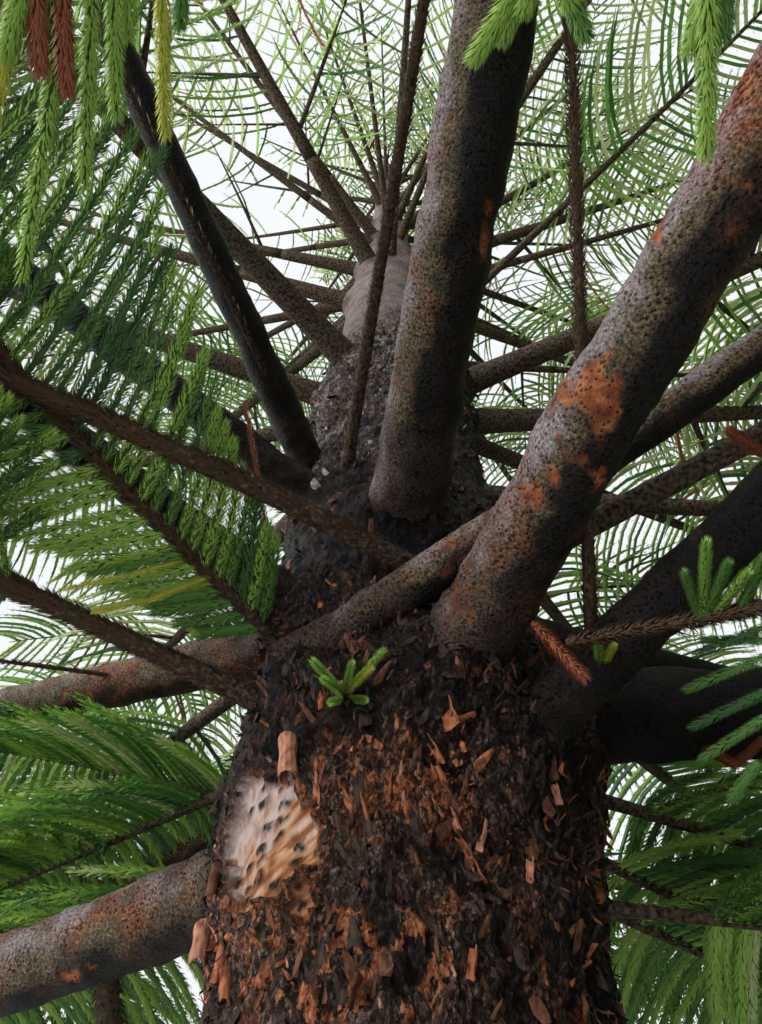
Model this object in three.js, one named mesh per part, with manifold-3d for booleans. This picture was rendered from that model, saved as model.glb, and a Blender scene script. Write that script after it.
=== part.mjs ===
// A Norfolk Island pine, whole and rooted in level ground. One straight trunk with a flared foot
// carries whorls of nearly level boughs. Each bough is bare near the trunk and ends in a frond:
// a stem with side twigs in two ranks, and sprays of needles standing on both.
// Millimetres and degrees, +Z up, origin at the middle of the flat cut at the foot.
// A bearing is counted from -Y towards +X.

import * as THREE from 'three';
import { mergeVertices } from 'three/addons/utils/BufferGeometryUtils.js';
import Module from 'manifold-3d';

const wasm = await Module();
wasm.setup();

// Driving dimensions of the trunk: its radius at rising heights, the swelling under each whorl
// of boughs, and the lobes of the root flare
const treeHeight = 10500;
const trunkTaper = [
  [0, 455], [250, 392], [800, 338], [2000, 300], [2900, 284],
  [3800, 262], [5400, 200], [6300, 140], [7800, 85], [9600, 38], [10500, 9],
];
const whorlHeights = [2400, 3000, 4120];
const whorlSwelling = 0.1;
const whorlSpread = 170;
const trunkSides = 16;
const flareHeight = 700;
const flareMiddle = 450;
const flareLobes = 5;
const flareDepth = 0.09;

// Driving dimensions of the limbs. A limb starts inside the trunk, at this share of its radius,
// and is cut clear of it by the gap that all neighbours keep.
const footDepth = 0.8;
const seatGap = 0.3;
const tipLift = 0.06;
const frondEndThick = 9;
const boughEndShare = 0.8;
const boughSides = 7;
const boughSteps = 5;
const crownStemSides = 4;
const stemSides = 3;
const stemSteps = 4;
const shootSteps = 5;

// The boughs: where each one's foot is on the trunk, where it heads, its rise, how far it bends
// aside, its thickness at the foot, where its frond begins and how far the frond reaches. A depth
// is given where a foot stands shallower in the trunk than the others.
const boughs = {
  low: [
    { foot: -115, height: 2352, bearing: -115, rise: -3.6, thick: 165, bare: 1150, reach: 3150 },
    { foot: -133, height: 2653, bearing: -133, rise: 4, sway: -30, thick: 110, bare: 900, reach: 3000 },
    { foot: -172, height: 2430, bearing: -172, rise: 1, thick: 130, bare: 900, reach: 3050 },
    { foot: 150, height: 2430, bearing: 152, rise: -4, thick: 120, bare: 800, reach: 3050 },
    { foot: 82, height: 2590, bearing: 82, rise: -8, sway: 60, thick: 185, bare: 900, reach: 3150 },
    { foot: 44, height: 2379, bearing: 43, rise: 11.5, thick: 102, bare: 1350, reach: 2950 },
    { foot: 21.6, height: 2511, bearing: 22, rise: 4.4, sway: 430, thick: 145, bare: 1450, reach: 3150 },
  ],
  second: [
    { foot: -108, height: 2953, bearing: -108, rise: 4.4, sway: -30, thick: 135, bare: 1050, reach: 3200 },
    { foot: -54, height: 2785, bearing: -48, rise: 8.3, thick: 92, bare: 1100, reach: 3050 },
    { foot: -56, height: 3255, bearing: -49, rise: 8, thick: 100, bare: 1050, reach: 2900 },
    { foot: -74, height: 3409, bearing: -20.3, rise: 11.9, sway: -30, thick: 98, bare: 1200, reach: 2600 },
    { foot: 2, height: 2932, bearing: 9.8, rise: 5, sway: 100, thick: 160, bare: 1450, reach: 3200 },
    {
      foot: -45.2, height: 2567, bearing: 60.4, rise: 12.6, sway: -190,
      thick: 85, bare: 1250, reach: 2900, depth: 1,
    },
    { foot: 112, height: 2990, bearing: 112, rise: 4, thick: 128, bare: 900, reach: 3150 },
    { foot: 168, height: 3050, bearing: 168, rise: 5, thick: 125, bare: 900, reach: 3100 },
  ],
};

// The whorls above them, whose boughs and fronds are one piece each
const crown = {
  third: [
    { foot: -32.5, height: 4066, bearing: -42.7, rise: 10, thick: 95, bare: 950, reach: 2800 },
    { foot: -72, height: 4080, bearing: -72, rise: 9.4, thick: 80, bare: 850, reach: 2750 },
    { foot: -140, height: 4110, bearing: -140, rise: 9, thick: 92, bare: 700, reach: 2800 },
    { foot: 148, height: 4130, bearing: 148, rise: 9, thick: 92, bare: 700, reach: 2800 },
    { foot: 95, height: 4045, bearing: 95, rise: 9.7, thick: 90, bare: 850, reach: 2750 },
    { foot: 77.6, height: 4179, bearing: 72, rise: 10.5, thick: 92, bare: 900, reach: 2750 },
  ],
  fourth: [
    { foot: -28.7, height: 5484, bearing: -28.7, rise: 11, thick: 86, bare: 600, reach: 2350 },
    { foot: -76, height: 5270, bearing: -76, rise: 10.8, thick: 80, bare: 600, reach: 2350 },
    { foot: -130, height: 5600, bearing: -130, rise: 11, thick: 74, bare: 550, reach: 2300 },
    { foot: 38, height: 5600, bearing: 38, rise: 11, thick: 74, bare: 600, reach: 2300 },
    { foot: 116, height: 5560, bearing: 116, rise: 11, thick: 72, bare: 550, reach: 2300 },
  ],
  fifth: [
    { foot: -76.4, height: 5878, bearing: -80, rise: 12, thick: 73, bare: 480, reach: 2100 },
    { foot: 78, height: 5933, bearing: 78, rise: 12, thick: 82, bare: 500, reach: 2100 },
    { foot: 170, height: 5900, bearing: 170, rise: 12, thick: 76, bare: 450, reach: 2100 },
    { foot: -30, height: 6250, bearing: -38, rise: 14, thick: 62, bare: 450, reach: 1950 },
  ],
  sixth: [
    { foot: 57, height: 6710, bearing: 57, rise: 15, thick: 62, bare: 400, reach: 1750 },
    { foot: -50, height: 6790, bearing: -62, rise: 15, thick: 56, bare: 400, reach: 1750 },
    { foot: 130, height: 6760, bearing: 130, rise: 15, thick: 58, bare: 400, reach: 1750 },
    { foot: -140, height: 6720, bearing: -140, rise: 15, thick: 58, bare: 400, reach: 1750 },
  ],
  seventh: [
    { foot: -20, height: 7800, bearing: -20, rise: 21, thick: 50, bare: 240, reach: 1350 },
    { foot: 95, height: 7860, bearing: 95, rise: 21, thick: 48, bare: 240, reach: 1350 },
    { foot: -145, height: 7830, bearing: -145, rise: 21, thick: 48, bare: 240, reach: 1350 },
  ],
  top: [
    { foot: 35, height: 9080, bearing: 35, rise: 33, thick: 34, bare: 110, reach: 800 },
    { foot: 155, height: 9120, bearing: 155, rise: 33, thick: 34, bare: 110, reach: 800 },
    { foot: -85, height: 9100, bearing: -85, rise: 33, thick: 34, bare: 110, reach: 800 },
  ],
};

// Young shoots that break from the trunk between the boughs
const shoots = [
  {
    foot: 32.8, height: 2710, bearing: -56.5, rise: 5.3, sway: -270,
    thick: 42, bare: 1000, reach: 1750, depth: 1,
  },
  { foot: -63, height: 2686, bearing: -41, rise: 10.7, sway: 120, thick: 30, bare: 300, reach: 1500 },
  { foot: -70, height: 2567, bearing: -63, rise: 9.8, thick: 44, bare: 550, reach: 1500 },
  { foot: -40, height: 3254, bearing: 12.2, rise: 12, thick: 32, bare: 1100, reach: 1700 },
];

// Driving dimensions of a frond: how its side twigs and sprays are spaced, how wide it spreads
// for its length, and the outline of a spray, as shares of its length and half width
const twigSpacing = 720;
const fewestPairs = 2;
const mostPairs = 3;
const pairPlace = 0.3;
const pairStagger = 0.16;
const frondSpread = 0.46;
const widestFrond = 900;
const twigAngle = 58;
const twigTipAngle = 34;
const angleScatter = 12;
const twigRise = 0.1;
const riseScatter = 0.16;
const twigThick = 0.45;
const twigShare = 0.42;
const endTwigShare = 0.72;
const shortestTwig = 0.85;
const longestTwig = 1.1;
const sprayStart = 0.2;
const tipSpray = 0.7;
const tipSprayInside = 0.6;
const sprayWidth = 0.14;
const sprayThick = 0.035;
const sprayRidge = 0.45;
const sprayAlong = [0, 0.34, 0.5, 0.72, 1];
const sprayAcross = [0, 1, 0.42, 0.8, 0];
const shorter = 0.72;
const triesPerSpray = 3;
const weldTolerance = 1e-4;
const fusedTolerance = 0.1;

const bark = new THREE.MeshStandardMaterial({ color: 0x3a3430, roughness: 0.95 });
const limbBark = new THREE.MeshStandardMaterial({ color: 0x5a4f47, roughness: 0.9 });
const needles = new THREE.MeshStandardMaterial({ color: 0x2f4a26, roughness: 0.85 });

const { lerp, degToRad, clamp } = THREE.MathUtils;
const skyward = new THREE.Vector3(0, 0, 1);

function seededRandom(seed) {
  let state = seed * 7919 + 17;
  return () => {
    state = (state * 16807) % 2147483647;
    return state / 2147483647;
  };
}

function trunkRadius(z) {
  const next = Math.max(1, trunkTaper.findIndex(([height]) => height >= z));
  const [lowHeight, lowRadius] = trunkTaper[next - 1];
  const [highHeight, highRadius] = trunkTaper[next];
  const plain = lerp(lowRadius, highRadius, (z - lowHeight) / (highHeight - lowHeight));
  const swell = (whorl) => whorlSwelling * Math.exp(-(((z - whorl) / whorlSpread) ** 2));
  return plain * (1 + Math.max(...whorlHeights.map(swell)));
}

// Solids and meshes

function solidOf(geometry) {
  const bare = geometry.clone();
  bare.deleteAttribute('normal');
  bare.deleteAttribute('uv');
  const merged = mergeVertices(bare, weldTolerance);
  return new wasm.Manifold(new wasm.Mesh({
    numProp: 3,
    vertProperties: new Float32Array(merged.attributes.position.array),
    triVerts: new Uint32Array(merged.index.array),
  }));
}

function largestPiece(solid) {
  const pieces = solid.decompose();
  return pieces.reduce((best, piece) => (piece.volume() > best.volume() ? piece : best));
}

function namedMesh(name, solid, material) {
  const { vertProperties, triVerts } = solid.getMesh();
  const geometry = new THREE.BufferGeometry();
  geometry.setAttribute('position', new THREE.BufferAttribute(vertProperties, 3));
  geometry.setIndex(new THREE.BufferAttribute(triVerts, 1));
  const mesh = new THREE.Mesh(geometry, material);
  mesh.name = name;
  return mesh;
}

function moveVertices(geometry, place) {
  const position = geometry.attributes.position;
  const vertex = new THREE.Vector3();
  for (let i = 0; i < position.count; i += 1) {
    vertex.fromBufferAttribute(position, i);
    position.setXYZ(i, ...place(vertex));
  }
  return geometry;
}

// The trunk: a turned profile, pushed out and in round its foot by the lobes of the roots

function trunkSolid(extra) {
  const levels = new Set([...trunkTaper.map(([height]) => height), flareMiddle]);
  for (const whorl of whorlHeights) {
    levels.add(whorl - whorlSpread).add(whorl).add(whorl + whorlSpread);
  }
  const rising = [...levels].sort((a, b) => a - b);
  const profile = rising.map((z) => new THREE.Vector2(trunkRadius(z) + extra, z));
  profile.unshift(new THREE.Vector2(0, 0));
  profile.push(new THREE.Vector2(0, treeHeight));
  const turned = new THREE.LatheGeometry(profile, trunkSides).rotateX(Math.PI / 2);
  return solidOf(moveVertices(turned, ({ x, y, z }) => {
    const fade = clamp(1 - z / flareHeight, 0, 1) ** 2;
    const push = 1 + flareDepth * fade * Math.cos(flareLobes * Math.atan2(y, x));
    return [x * push, y * push, z];
  }));
}

// A limb's middle line. The distance along it is level, measured from the foot.

function limbLine(limb) {
  const foot = degToRad(limb.foot);
  const bearing = degToRad(limb.bearing);
  const start = new THREE.Vector3(Math.sin(foot), -Math.cos(foot), 0)
    .multiplyScalar((limb.depth ?? footDepth) * trunkRadius(limb.height))
    .setZ(limb.height);
  const along = new THREE.Vector3(Math.sin(bearing), -Math.cos(bearing), Math.tan(degToRad(limb.rise)));
  const aside = new THREE.Vector3(Math.cos(bearing), Math.sin(bearing), 0);
  return (distance) => {
    const share = distance / limb.reach;
    return start.clone()
      .addScaledVector(along, distance)
      .addScaledVector(aside, (limb.sway ?? 0) * share ** 2)
      .addScaledVector(skyward, tipLift * limb.reach * share ** 4);
  };
}

function limbThickness(limb, distance) {
  const bareEnd = limb.thick * boughEndShare;
  if (distance < limb.bare) return lerp(limb.thick, bareEnd, distance / limb.bare);
  return lerp(bareEnd, frondEndThick, (distance - limb.bare) / (limb.reach - limb.bare));
}

function directionOf(line, distance) {
  return line(distance + 1).sub(line(distance - 1)).normalize();
}

// A tapering round limb between two distances on its line: a cylinder bent to that line

function taperedLimb(limb, from, to, sides, steps) {
  const line = limbLine(limb);
  const straight = new THREE.CylinderGeometry(1, 1, 1, sides, steps);
  return solidOf(moveVertices(straight, ({ x, y, z }) => {
    const distance = lerp(from, to, y + 0.5);
    const radius = limbThickness(limb, distance) / 2;
    const direction = directionOf(line, distance);
    const side = direction.clone().cross(skyward).normalize();
    const upward = side.clone().cross(direction);
    return line(distance).addScaledVector(side, x * radius).addScaledVector(upward, z * radius);
  }));
}

// A spray of needles: a thin blade with toothed edges, thickest along its middle. It is a double
// cone with eight corners, whose rim is moved to the toothed outline.

function sprayBlade(root, direction, length) {
  const rimCorners = 2 * (sprayAlong.length - 1);
  const blank = new THREE.SphereGeometry(1, rimCorners, 2);
  const across = direction.clone().cross(skyward).normalize();
  const normal = across.clone().cross(direction);
  return solidOf(moveVertices(blank, ({ x, y, z }) => {
    if (Math.abs(y) > 0.5) {
      const ridge = Math.sign(y) * length * sprayThick / 2;
      return root.clone().addScaledVector(direction, length * sprayRidge).addScaledVector(normal, ridge);
    }
    const turn = Math.round((Math.atan2(z, -x) / (2 * Math.PI)) * rimCorners);
    const corner = (turn + rimCorners) % rimCorners;
    const place = corner <= rimCorners / 2 ? corner : rimCorners - corner;
    const half = Math.sign(rimCorners / 2 - corner) * sprayAcross[place] * length * sprayWidth;
    return root.clone().addScaledVector(direction, length * sprayAlong[place]).addScaledVector(across, half);
  }));
}

// A side twig: a slim three-sided cone from inside the stem

function sideTwig(root, direction, length, thick) {
  const cone = new THREE.ConeGeometry(1, 1, 3, 1);
  const side = direction.clone().cross(skyward).normalize();
  const upward = side.clone().cross(direction);
  return solidOf(moveVertices(cone, ({ x, y, z }) => root.clone()
    .addScaledVector(direction, (y + 0.5) * length)
    .addScaledVector(side, (x * thick) / 2)
    .addScaledVector(upward, (z * thick) / 2)));
}

// A frond's stem, and the twigs and sprays that stand on it. Whatever would touch a neighbour
// is made shorter, and left out if it still touches.

function boxesMeet(a, b) {
  const first = a.boundingBox();
  const second = b.boundingBox();
  return [0, 1, 2].every((k) => first.min[k] < second.max[k] + 1 && second.min[k] < first.max[k] + 1);
}

function touches(piece, neighbours) {
  return neighbours.some((other) => boxesMeet(piece, other) && piece.minGap(other, 1) < seatGap);
}

function growFrond(limb, seed, stem, neighbours) {
  const random = seededRandom(seed);
  const line = limbLine(limb);
  const grown = [stem];

  const addSpray = (root, direction, length) => {
    for (let trial = 0, size = length; trial < triesPerSpray; trial += 1, size *= shorter) {
      const blade = sprayBlade(root, direction, size);
      if (!touches(blade, neighbours)) {
        grown.push(blade);
        return;
      }
    }
  };

  const leafy = limb.reach - limb.bare;
  const pairs = clamp(Math.round(leafy / twigSpacing), fewestPairs, mostPairs);
  const widest = Math.min(widestFrond, leafy * frondSpread);
  for (let pair = 0; pair < pairs; pair += 1) {
    for (const hand of [-1, 1]) {
      const share = (pair + pairPlace + pairStagger * hand) / pairs;
      const distance = limb.bare + leafy * share;
      const forward = directionOf(line, distance);
      const aside = forward.clone().cross(skyward).normalize().multiplyScalar(hand);
      const angle = degToRad(lerp(twigAngle, twigTipAngle, share) + (random() - 0.5) * angleScatter);
      const direction = forward.clone().multiplyScalar(Math.cos(angle))
        .addScaledVector(aside, Math.sin(angle))
        .addScaledVector(skyward, twigRise + (random() - 0.5) * riseScatter)
        .normalize();
      const length = widest * lerp(1, endTwigShare, share) * lerp(shortestTwig, longestTwig, random());
      const root = line(distance);
      const twig = sideTwig(root, direction, length * twigShare, limbThickness(limb, distance) * twigThick);
      if (touches(twig, neighbours)) continue;
      grown.push(twig);
      addSpray(root.clone().addScaledVector(direction, length * sprayStart), direction, length);
    }
  }
  const tip = limb.reach - widest * tipSpray * tipSprayInside;
  addSpray(line(tip), directionOf(line, tip), widest * tipSpray);
  return largestPiece(wasm.Manifold.union(grown).simplify(fusedTolerance));
}

// Assembly: the limbs first, so that every frond can keep clear of them, then the fronds

const tree = new THREE.Group();
const trunk = trunkSolid(0);
const trunkRoom = trunkSolid(seatGap);
tree.add(namedMesh('trunk', trunk, bark));

const standing = [{ name: 'trunk', solid: trunk }];
const fronds = [];

for (const [tier, limbs] of Object.entries(boughs)) {
  limbs.forEach((limb, i) => {
    const name = `bough_${tier}_${i + 1}`;
    const whole = taperedLimb(limb, 0, limb.bare, boughSides, boughSteps);
    const solid = largestPiece(whole.subtract(trunkRoom));
    standing.push({ name, solid });
    tree.add(namedMesh(name, solid, limbBark));
    const stem = taperedLimb(limb, limb.bare + seatGap, limb.reach, stemSides, stemSteps);
    fronds.push({ name: `foliage_${tier}_${i + 1}`, limb, stem });
  });
}

for (const [tier, limbs] of Object.entries(crown)) {
  limbs.forEach((limb, i) => {
    const whole = taperedLimb(limb, 0, limb.reach, crownStemSides, stemSteps);
    const stem = largestPiece(whole.subtract(trunkRoom));
    fronds.push({ name: `foliage_${tier}_${i + 1}`, limb, stem });
  });
}

shoots.forEach((limb, i) => {
  const whole = taperedLimb(limb, 0, limb.reach, stemSides, shootSteps);
  const stem = largestPiece(whole.subtract(trunkRoom));
  fronds.push({ name: `shoot_${i + 1}`, limb, stem });
});

for (const { name, stem } of fronds) standing.push({ name, solid: stem });

fronds.forEach(({ name, limb, stem }, i) => {
  const own = standing.findIndex((piece) => piece.name === name);
  const neighbours = standing.filter((piece) => piece.name !== name).map((piece) => piece.solid);
  const solid = growFrond(limb, i + 1, stem, neighbours);
  standing[own].solid = solid;
  tree.add(namedMesh(name, solid, needles));
});

export default tree;
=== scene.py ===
from collections import namedtuple
from math import cos, pi, radians, sin, tan

import bmesh
import bpy
import numpy as np
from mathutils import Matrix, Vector


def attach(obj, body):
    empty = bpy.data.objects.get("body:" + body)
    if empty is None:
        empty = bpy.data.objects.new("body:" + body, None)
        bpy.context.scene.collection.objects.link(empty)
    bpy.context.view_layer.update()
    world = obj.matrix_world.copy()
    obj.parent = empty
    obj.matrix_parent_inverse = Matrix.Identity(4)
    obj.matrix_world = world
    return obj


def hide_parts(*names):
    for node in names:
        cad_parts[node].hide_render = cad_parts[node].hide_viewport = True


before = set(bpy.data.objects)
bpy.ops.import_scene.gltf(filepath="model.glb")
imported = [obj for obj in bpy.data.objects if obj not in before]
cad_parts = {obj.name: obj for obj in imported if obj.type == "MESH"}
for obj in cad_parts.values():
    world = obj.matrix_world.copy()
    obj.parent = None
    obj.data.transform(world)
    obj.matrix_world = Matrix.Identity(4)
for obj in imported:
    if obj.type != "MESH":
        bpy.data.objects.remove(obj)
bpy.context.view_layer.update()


# Where the tree is seen from: someone stands beside the trunk, a little to its right, and looks
# steeply up into the whorls. The lens is that of a small wide camera held upright.
EYE = Vector((0.0, -1.25, 1.5))
LOOK_UP = 57.0
LOOK_LEFT = 2.05


def object_of(name, data):
    """A new object in the scene, for a camera, a lamp or a mesh."""
    thing = bpy.data.objects.new(name, data)
    bpy.context.collection.objects.link(thing)
    return thing


lens = bpy.data.cameras.new("view_up_the_trunk")
lens.sensor_width = 36.0
lens.lens = 27.04
lens.clip_start = 0.02
viewer = object_of("view_up_the_trunk", lens)
viewer.location = EYE
viewer.rotation_euler = (radians(90 + LOOK_UP), 0, radians(LOOK_LEFT))
bpy.context.scene.camera = viewer
bpy.context.scene.view_settings.view_transform = "Standard"


# The studio: a white backdrop all round, whose light is strong from the left and above, and weak
# from the right and below. One large soft lamp high on the left brings out the bark's relief.
SKY = (0.94, 0.97, 1.0)
BRIGHT_SIDE = Vector((-0.8, -0.38, 0.46))
LIGHT_STARTS = -0.45
LIGHT_FALLOFF = 2.7
LIGHT_RANGE = (0.07, 3.6)
LAMP_AT = Vector((-4.6, -3.6, 4.2))
LAMP_AIM = Vector((0, -0.2, 2.6))
LAMP_SIZE = 3.4
LAMP_POWER = 250


def fed(tree, node, inputs):
    """Gives a node its inputs, each a value or another node's output."""
    for socket, value in inputs.items():
        if isinstance(value, bpy.types.NodeSocket):
            tree.links.new(value, node.inputs[socket])
        else:
            node.inputs[socket].default_value = value
    return node


def added(tree, kind, inputs, **settings):
    """A new node in a tree, with its settings and inputs."""
    node = tree.nodes.new("ShaderNode" + kind)
    for name, value in settings.items():
        setattr(node, name, value)
    return fed(tree, node, inputs)


studio = bpy.data.worlds.new("studio")
bpy.context.scene.world = studio
studio.use_nodes = True
sky = studio.node_tree
seen = fed(sky, sky.nodes["Background"], {"Color": (*SKY, 1)})
direction = added(sky, "TexCoord", {}).outputs["Generated"]
towards = added(sky, "VectorMath", {0: direction, 1: BRIGHT_SIDE.normalized()}, operation="DOT_PRODUCT")
spread = added(sky, "MapRange", {"Value": towards.outputs["Value"], "From Min": LIGHT_STARTS})
falloff = added(sky, "Math", {0: spread.outputs[0], 1: LIGHT_FALLOFF}, operation="POWER")
strength = added(sky, "MapRange", {
    "Value": falloff.outputs[0], "To Min": LIGHT_RANGE[0], "To Max": LIGHT_RANGE[1],
})
cast = added(sky, "Background", {"Color": (*SKY, 1), "Strength": strength.outputs[0]})
straight = added(sky, "LightPath", {}).outputs["Is Camera Ray"]
either = added(sky, "MixShader", {0: straight, 1: cast.outputs[0], 2: seen.outputs[0]})
fed(sky, sky.nodes["World Output"], {"Surface": either.outputs[0]})

soft_lamp = bpy.data.lights.new("soft_lamp", "AREA")
soft_lamp.size = LAMP_SIZE
soft_lamp.energy = LAMP_POWER
soft_lamp.color = (1.0, 0.97, 0.93)
lamp = object_of("soft_lamp", soft_lamp)
lamp.location = LAMP_AT
lamp.rotation_euler = (LAMP_AIM - LAMP_AT).to_track_quat("-Z", "Y").to_euler()
lamp.visible_camera = False


# The floor: a plain pale matt sheet at ground level, where the trunk's flat foot stands. It belongs
# to the studio and not to the tree.
FLOOR_SIZE = 24
FLOOR_COLOUR = (0.5, 0.5, 0.48, 1)


def finish_named(name, roughness, gloss=0.25):
    """A new material, with its node tree and its shader."""
    finish = bpy.data.materials.new(name)
    finish.use_nodes = True
    tree = finish.node_tree
    given = {"Roughness": roughness, "Specular IOR Level": gloss}
    return finish, tree, fed(tree, tree.nodes["Principled BSDF"], given)


floor_finish, tree, shader = finish_named("floor", 0.9, 0.5)
shader.inputs["Base Color"].default_value = FLOOR_COLOUR
floor_shape = bmesh.new()
bmesh.ops.create_grid(floor_shape, x_segments=2, y_segments=2, size=FLOOR_SIZE / 2)
floor_mesh = bpy.data.meshes.new("floor")
floor_shape.to_mesh(floor_mesh)
floor_shape.free()
floor_mesh.materials.append(floor_finish)
floor = object_of("floor", floor_mesh)


# The trunk: straight and tapering, flared at its foot and swollen round the feet of its limbs. The
# bark is a thick dark crust that peels in papery layers with torn orange edges, smooth high up.
TREE_HEIGHT = 10.5
TRUNK_HEIGHTS = [0, 0.25, 0.8, 2.0, 2.9, 3.8, 5.4, 6.3, 7.8, 9.6, 10.5]
TRUNK_RADII = [0.455, 0.392, 0.338, 0.3, 0.284, 0.262, 0.2, 0.14, 0.085, 0.038, 0.009]
WHORL_HEIGHTS = [2.4, 3.0, 4.12]
WHORL_SWELLING = 0.1
WHORL_SPREAD = 0.17
FLARE_HEIGHT = 0.7
FLARE_LOBES = 5
FLARE_DEPTH = 0.09
FOOT_DEPTH = 0.8
ROUGH_BELOW = 4.25
SMOOTH_ABOVE = 4.75
LAYER_STEP = 0.0048
PEEL_BEARING = -46
PEEL_HEIGHT = 2.2
PEEL_WIDE = 18.5
PEEL_TALL = 0.14
KNOTS_AROUND = 47
KNOT_RISE = 0.026
COLLAR_SHARE = 0.45
FRONT_FINER = 0.45
CHIP_RELIEF = 0.009
# Where the crust is darkened: the bearings away from the light, as painted shade, and the band among the
# whorls, damp glossier bark in painted shade.
SHADED_BEARINGS = (12, 165)
DAMP_SHADE_BAND = (2.22, 3.9)
PAPERY_ABOVE = 3.0
LEADER_FROM = 9.5


# A limb by its foot's bearing (from -Y towards +X) and height, its rise in degrees, its thickness,
# the length of its bare part and its reach. Its own bearing may follow, where it doesn't head
# straight out, with its sway to one side and where it starts, as a share of the trunk's radius.
Limb = namedtuple(
    "Limb", "foot height rise thick bare reach bearing sway depth", defaults=(0.0, FOOT_DEPTH),
)


def limbs_of(rows):
    """Limbs from the rows of a table. One that gives no bearing of its own has its foot's."""
    return [Limb(*row[:6], *(row[6:] or row[:1])) for row in rows]


BOUGHS = {
    "low": limbs_of([
        (-115, 2.352, -3.6, 0.165, 1.15, 3.15), (-133, 2.653, 4, 0.11, 0.9, 3.0, -133, -0.03),
        (-172, 2.43, 1, 0.13, 0.9, 3.05), (150, 2.43, -4, 0.12, 0.8, 3.05, 152),
        (82, 2.59, -8, 0.185, 0.9, 3.15, 82, 0.06), (44, 2.379, 11.5, 0.102, 1.35, 2.95, 43),
        (21.6, 2.511, 4.4, 0.145, 1.45, 3.15, 22, 0.43),
    ]),
    "second": limbs_of([
        (-108, 2.953, 4.4, 0.135, 1.05, 3.2, -108, -0.03), (-54, 2.785, 8.3, 0.092, 1.1, 3.05, -48),
        (-56, 3.255, 8, 0.1, 1.05, 2.9, -49), (-74, 3.409, 11.9, 0.098, 1.2, 2.6, -20.3, -0.03),
        (2, 2.932, 5, 0.16, 1.45, 3.2, 9.8, 0.1),
        (-45.2, 2.567, 12.6, 0.085, 1.25, 2.9, 60.4, -0.19, 1.0), (112, 2.99, 4, 0.128, 0.9, 3.15),
        (168, 3.05, 5, 0.125, 0.9, 3.1),
    ]),
}
CROWN = {
    "third": limbs_of([
        (-32.5, 4.066, 10, 0.095, 0.95, 2.8, -42.7), (-72, 4.08, 9.4, 0.08, 0.85, 2.75),
        (-140, 4.11, 9, 0.092, 0.7, 2.8), (148, 4.13, 9, 0.092, 0.7, 2.8),
        (95, 4.045, 9.7, 0.09, 0.85, 2.75), (77.6, 4.179, 10.5, 0.092, 0.9, 2.75, 72),
    ]),
    "fourth": limbs_of([
        (-28.7, 5.484, 11, 0.086, 0.6, 2.35), (-76, 5.27, 10.8, 0.08, 0.6, 2.35),
        (-130, 5.6, 11, 0.074, 0.55, 2.3), (38, 5.6, 11, 0.074, 0.6, 2.3),
        (116, 5.56, 11, 0.072, 0.55, 2.3),
    ]),
    "fifth": limbs_of([
        (-76.4, 5.878, 12, 0.073, 0.48, 2.1, -80), (78, 5.933, 12, 0.082, 0.5, 2.1),
        (170, 5.9, 12, 0.076, 0.45, 2.1), (-30, 6.25, 14, 0.062, 0.45, 1.95, -38),
    ]),
    "sixth": limbs_of([
        (57, 6.71, 15, 0.062, 0.4, 1.75), (-50, 6.79, 15, 0.056, 0.4, 1.75, -62),
        (130, 6.76, 15, 0.058, 0.4, 1.75), (-140, 6.72, 15, 0.058, 0.4, 1.75),
    ]),
    "seventh": limbs_of([
        (-20, 7.8, 21, 0.05, 0.24, 1.35), (95, 7.86, 21, 0.048, 0.24, 1.35),
        (-145, 7.83, 21, 0.048, 0.24, 1.35),
    ]),
    "top": limbs_of([
        (35, 9.08, 33, 0.034, 0.11, 0.8), (155, 9.12, 33, 0.034, 0.11, 0.8),
        (-85, 9.1, 33, 0.034, 0.11, 0.8),
    ]),
}
SHOOTS = limbs_of([
    (32.8, 2.71, 5.3, 0.042, 1.0, 1.75, -56.5, -0.27, 1.0),
    (-63, 2.686, 10.7, 0.03, 0.3, 1.5, -41, 0.12),
    (-70, 2.567, 9.8, 0.044, 0.55, 1.5, -63),
    (-40, 3.254, 12, 0.032, 1.1, 1.7, 12.2),
])
THICK_LIMBS = [one for tier in (*BOUGHS.values(), *CROWN.values(), SHOOTS) for one in tier]


def trunk_radius(z):
    """The trunk's radius at a height, with the swellings at its whorls."""
    swell = [WHORL_SWELLING * np.exp(-(((z - whorl) / WHORL_SPREAD) ** 2)) for whorl in WHORL_HEIGHTS]
    return np.interp(z, TRUNK_HEIGHTS, TRUNK_RADII) * (1 + np.max(swell, axis=0))


def held(values):
    """Values kept from 0 to 1."""
    return np.clip(values, 0, 1)


def unit(vectors):
    """Directions, as vectors of length 1."""
    return vectors / np.maximum(np.linalg.norm(vectors, axis=-1, keepdims=True), 1e-9)


def lattice(i, j, k, salt):
    """A steady random share for each whole-number place."""
    stirred = np.asarray(i).astype(np.int64).astype(np.uint32) * np.uint32(73856093)
    stirred = stirred ^ (np.asarray(j).astype(np.int64).astype(np.uint32) * np.uint32(19349663))
    stirred = stirred ^ (np.asarray(k).astype(np.int64).astype(np.uint32) * np.uint32(83492791))
    stirred = stirred ^ np.uint32((salt * 2654435761) & 0xFFFFFFFF)
    stirred = (stirred ^ (stirred >> np.uint32(15))) * np.uint32(2246822519)
    stirred = (stirred ^ (stirred >> np.uint32(13))) * np.uint32(3266489917)
    return (stirred ^ (stirred >> np.uint32(16))).astype(np.float64) / 4294967295.0


def cloud(points, size, salt):
    """Smooth random noise from -1 to 1 in space, with lumps of about the given size."""
    scaled = points / size
    base = np.floor(scaled)
    part = scaled - base
    part = part * part * (3 - 2 * part)
    total = 0
    for corner in range(8):
        step = [(corner >> axis) & 1 for axis in range(3)]
        weight = 1
        for axis in range(3):
            weight = weight * (part[:, axis] if step[axis] else 1 - part[:, axis])
        total = total + weight * lattice(*(base[:, axis] + step[axis] for axis in range(3)), salt)
    return total * 2 - 1


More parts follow.
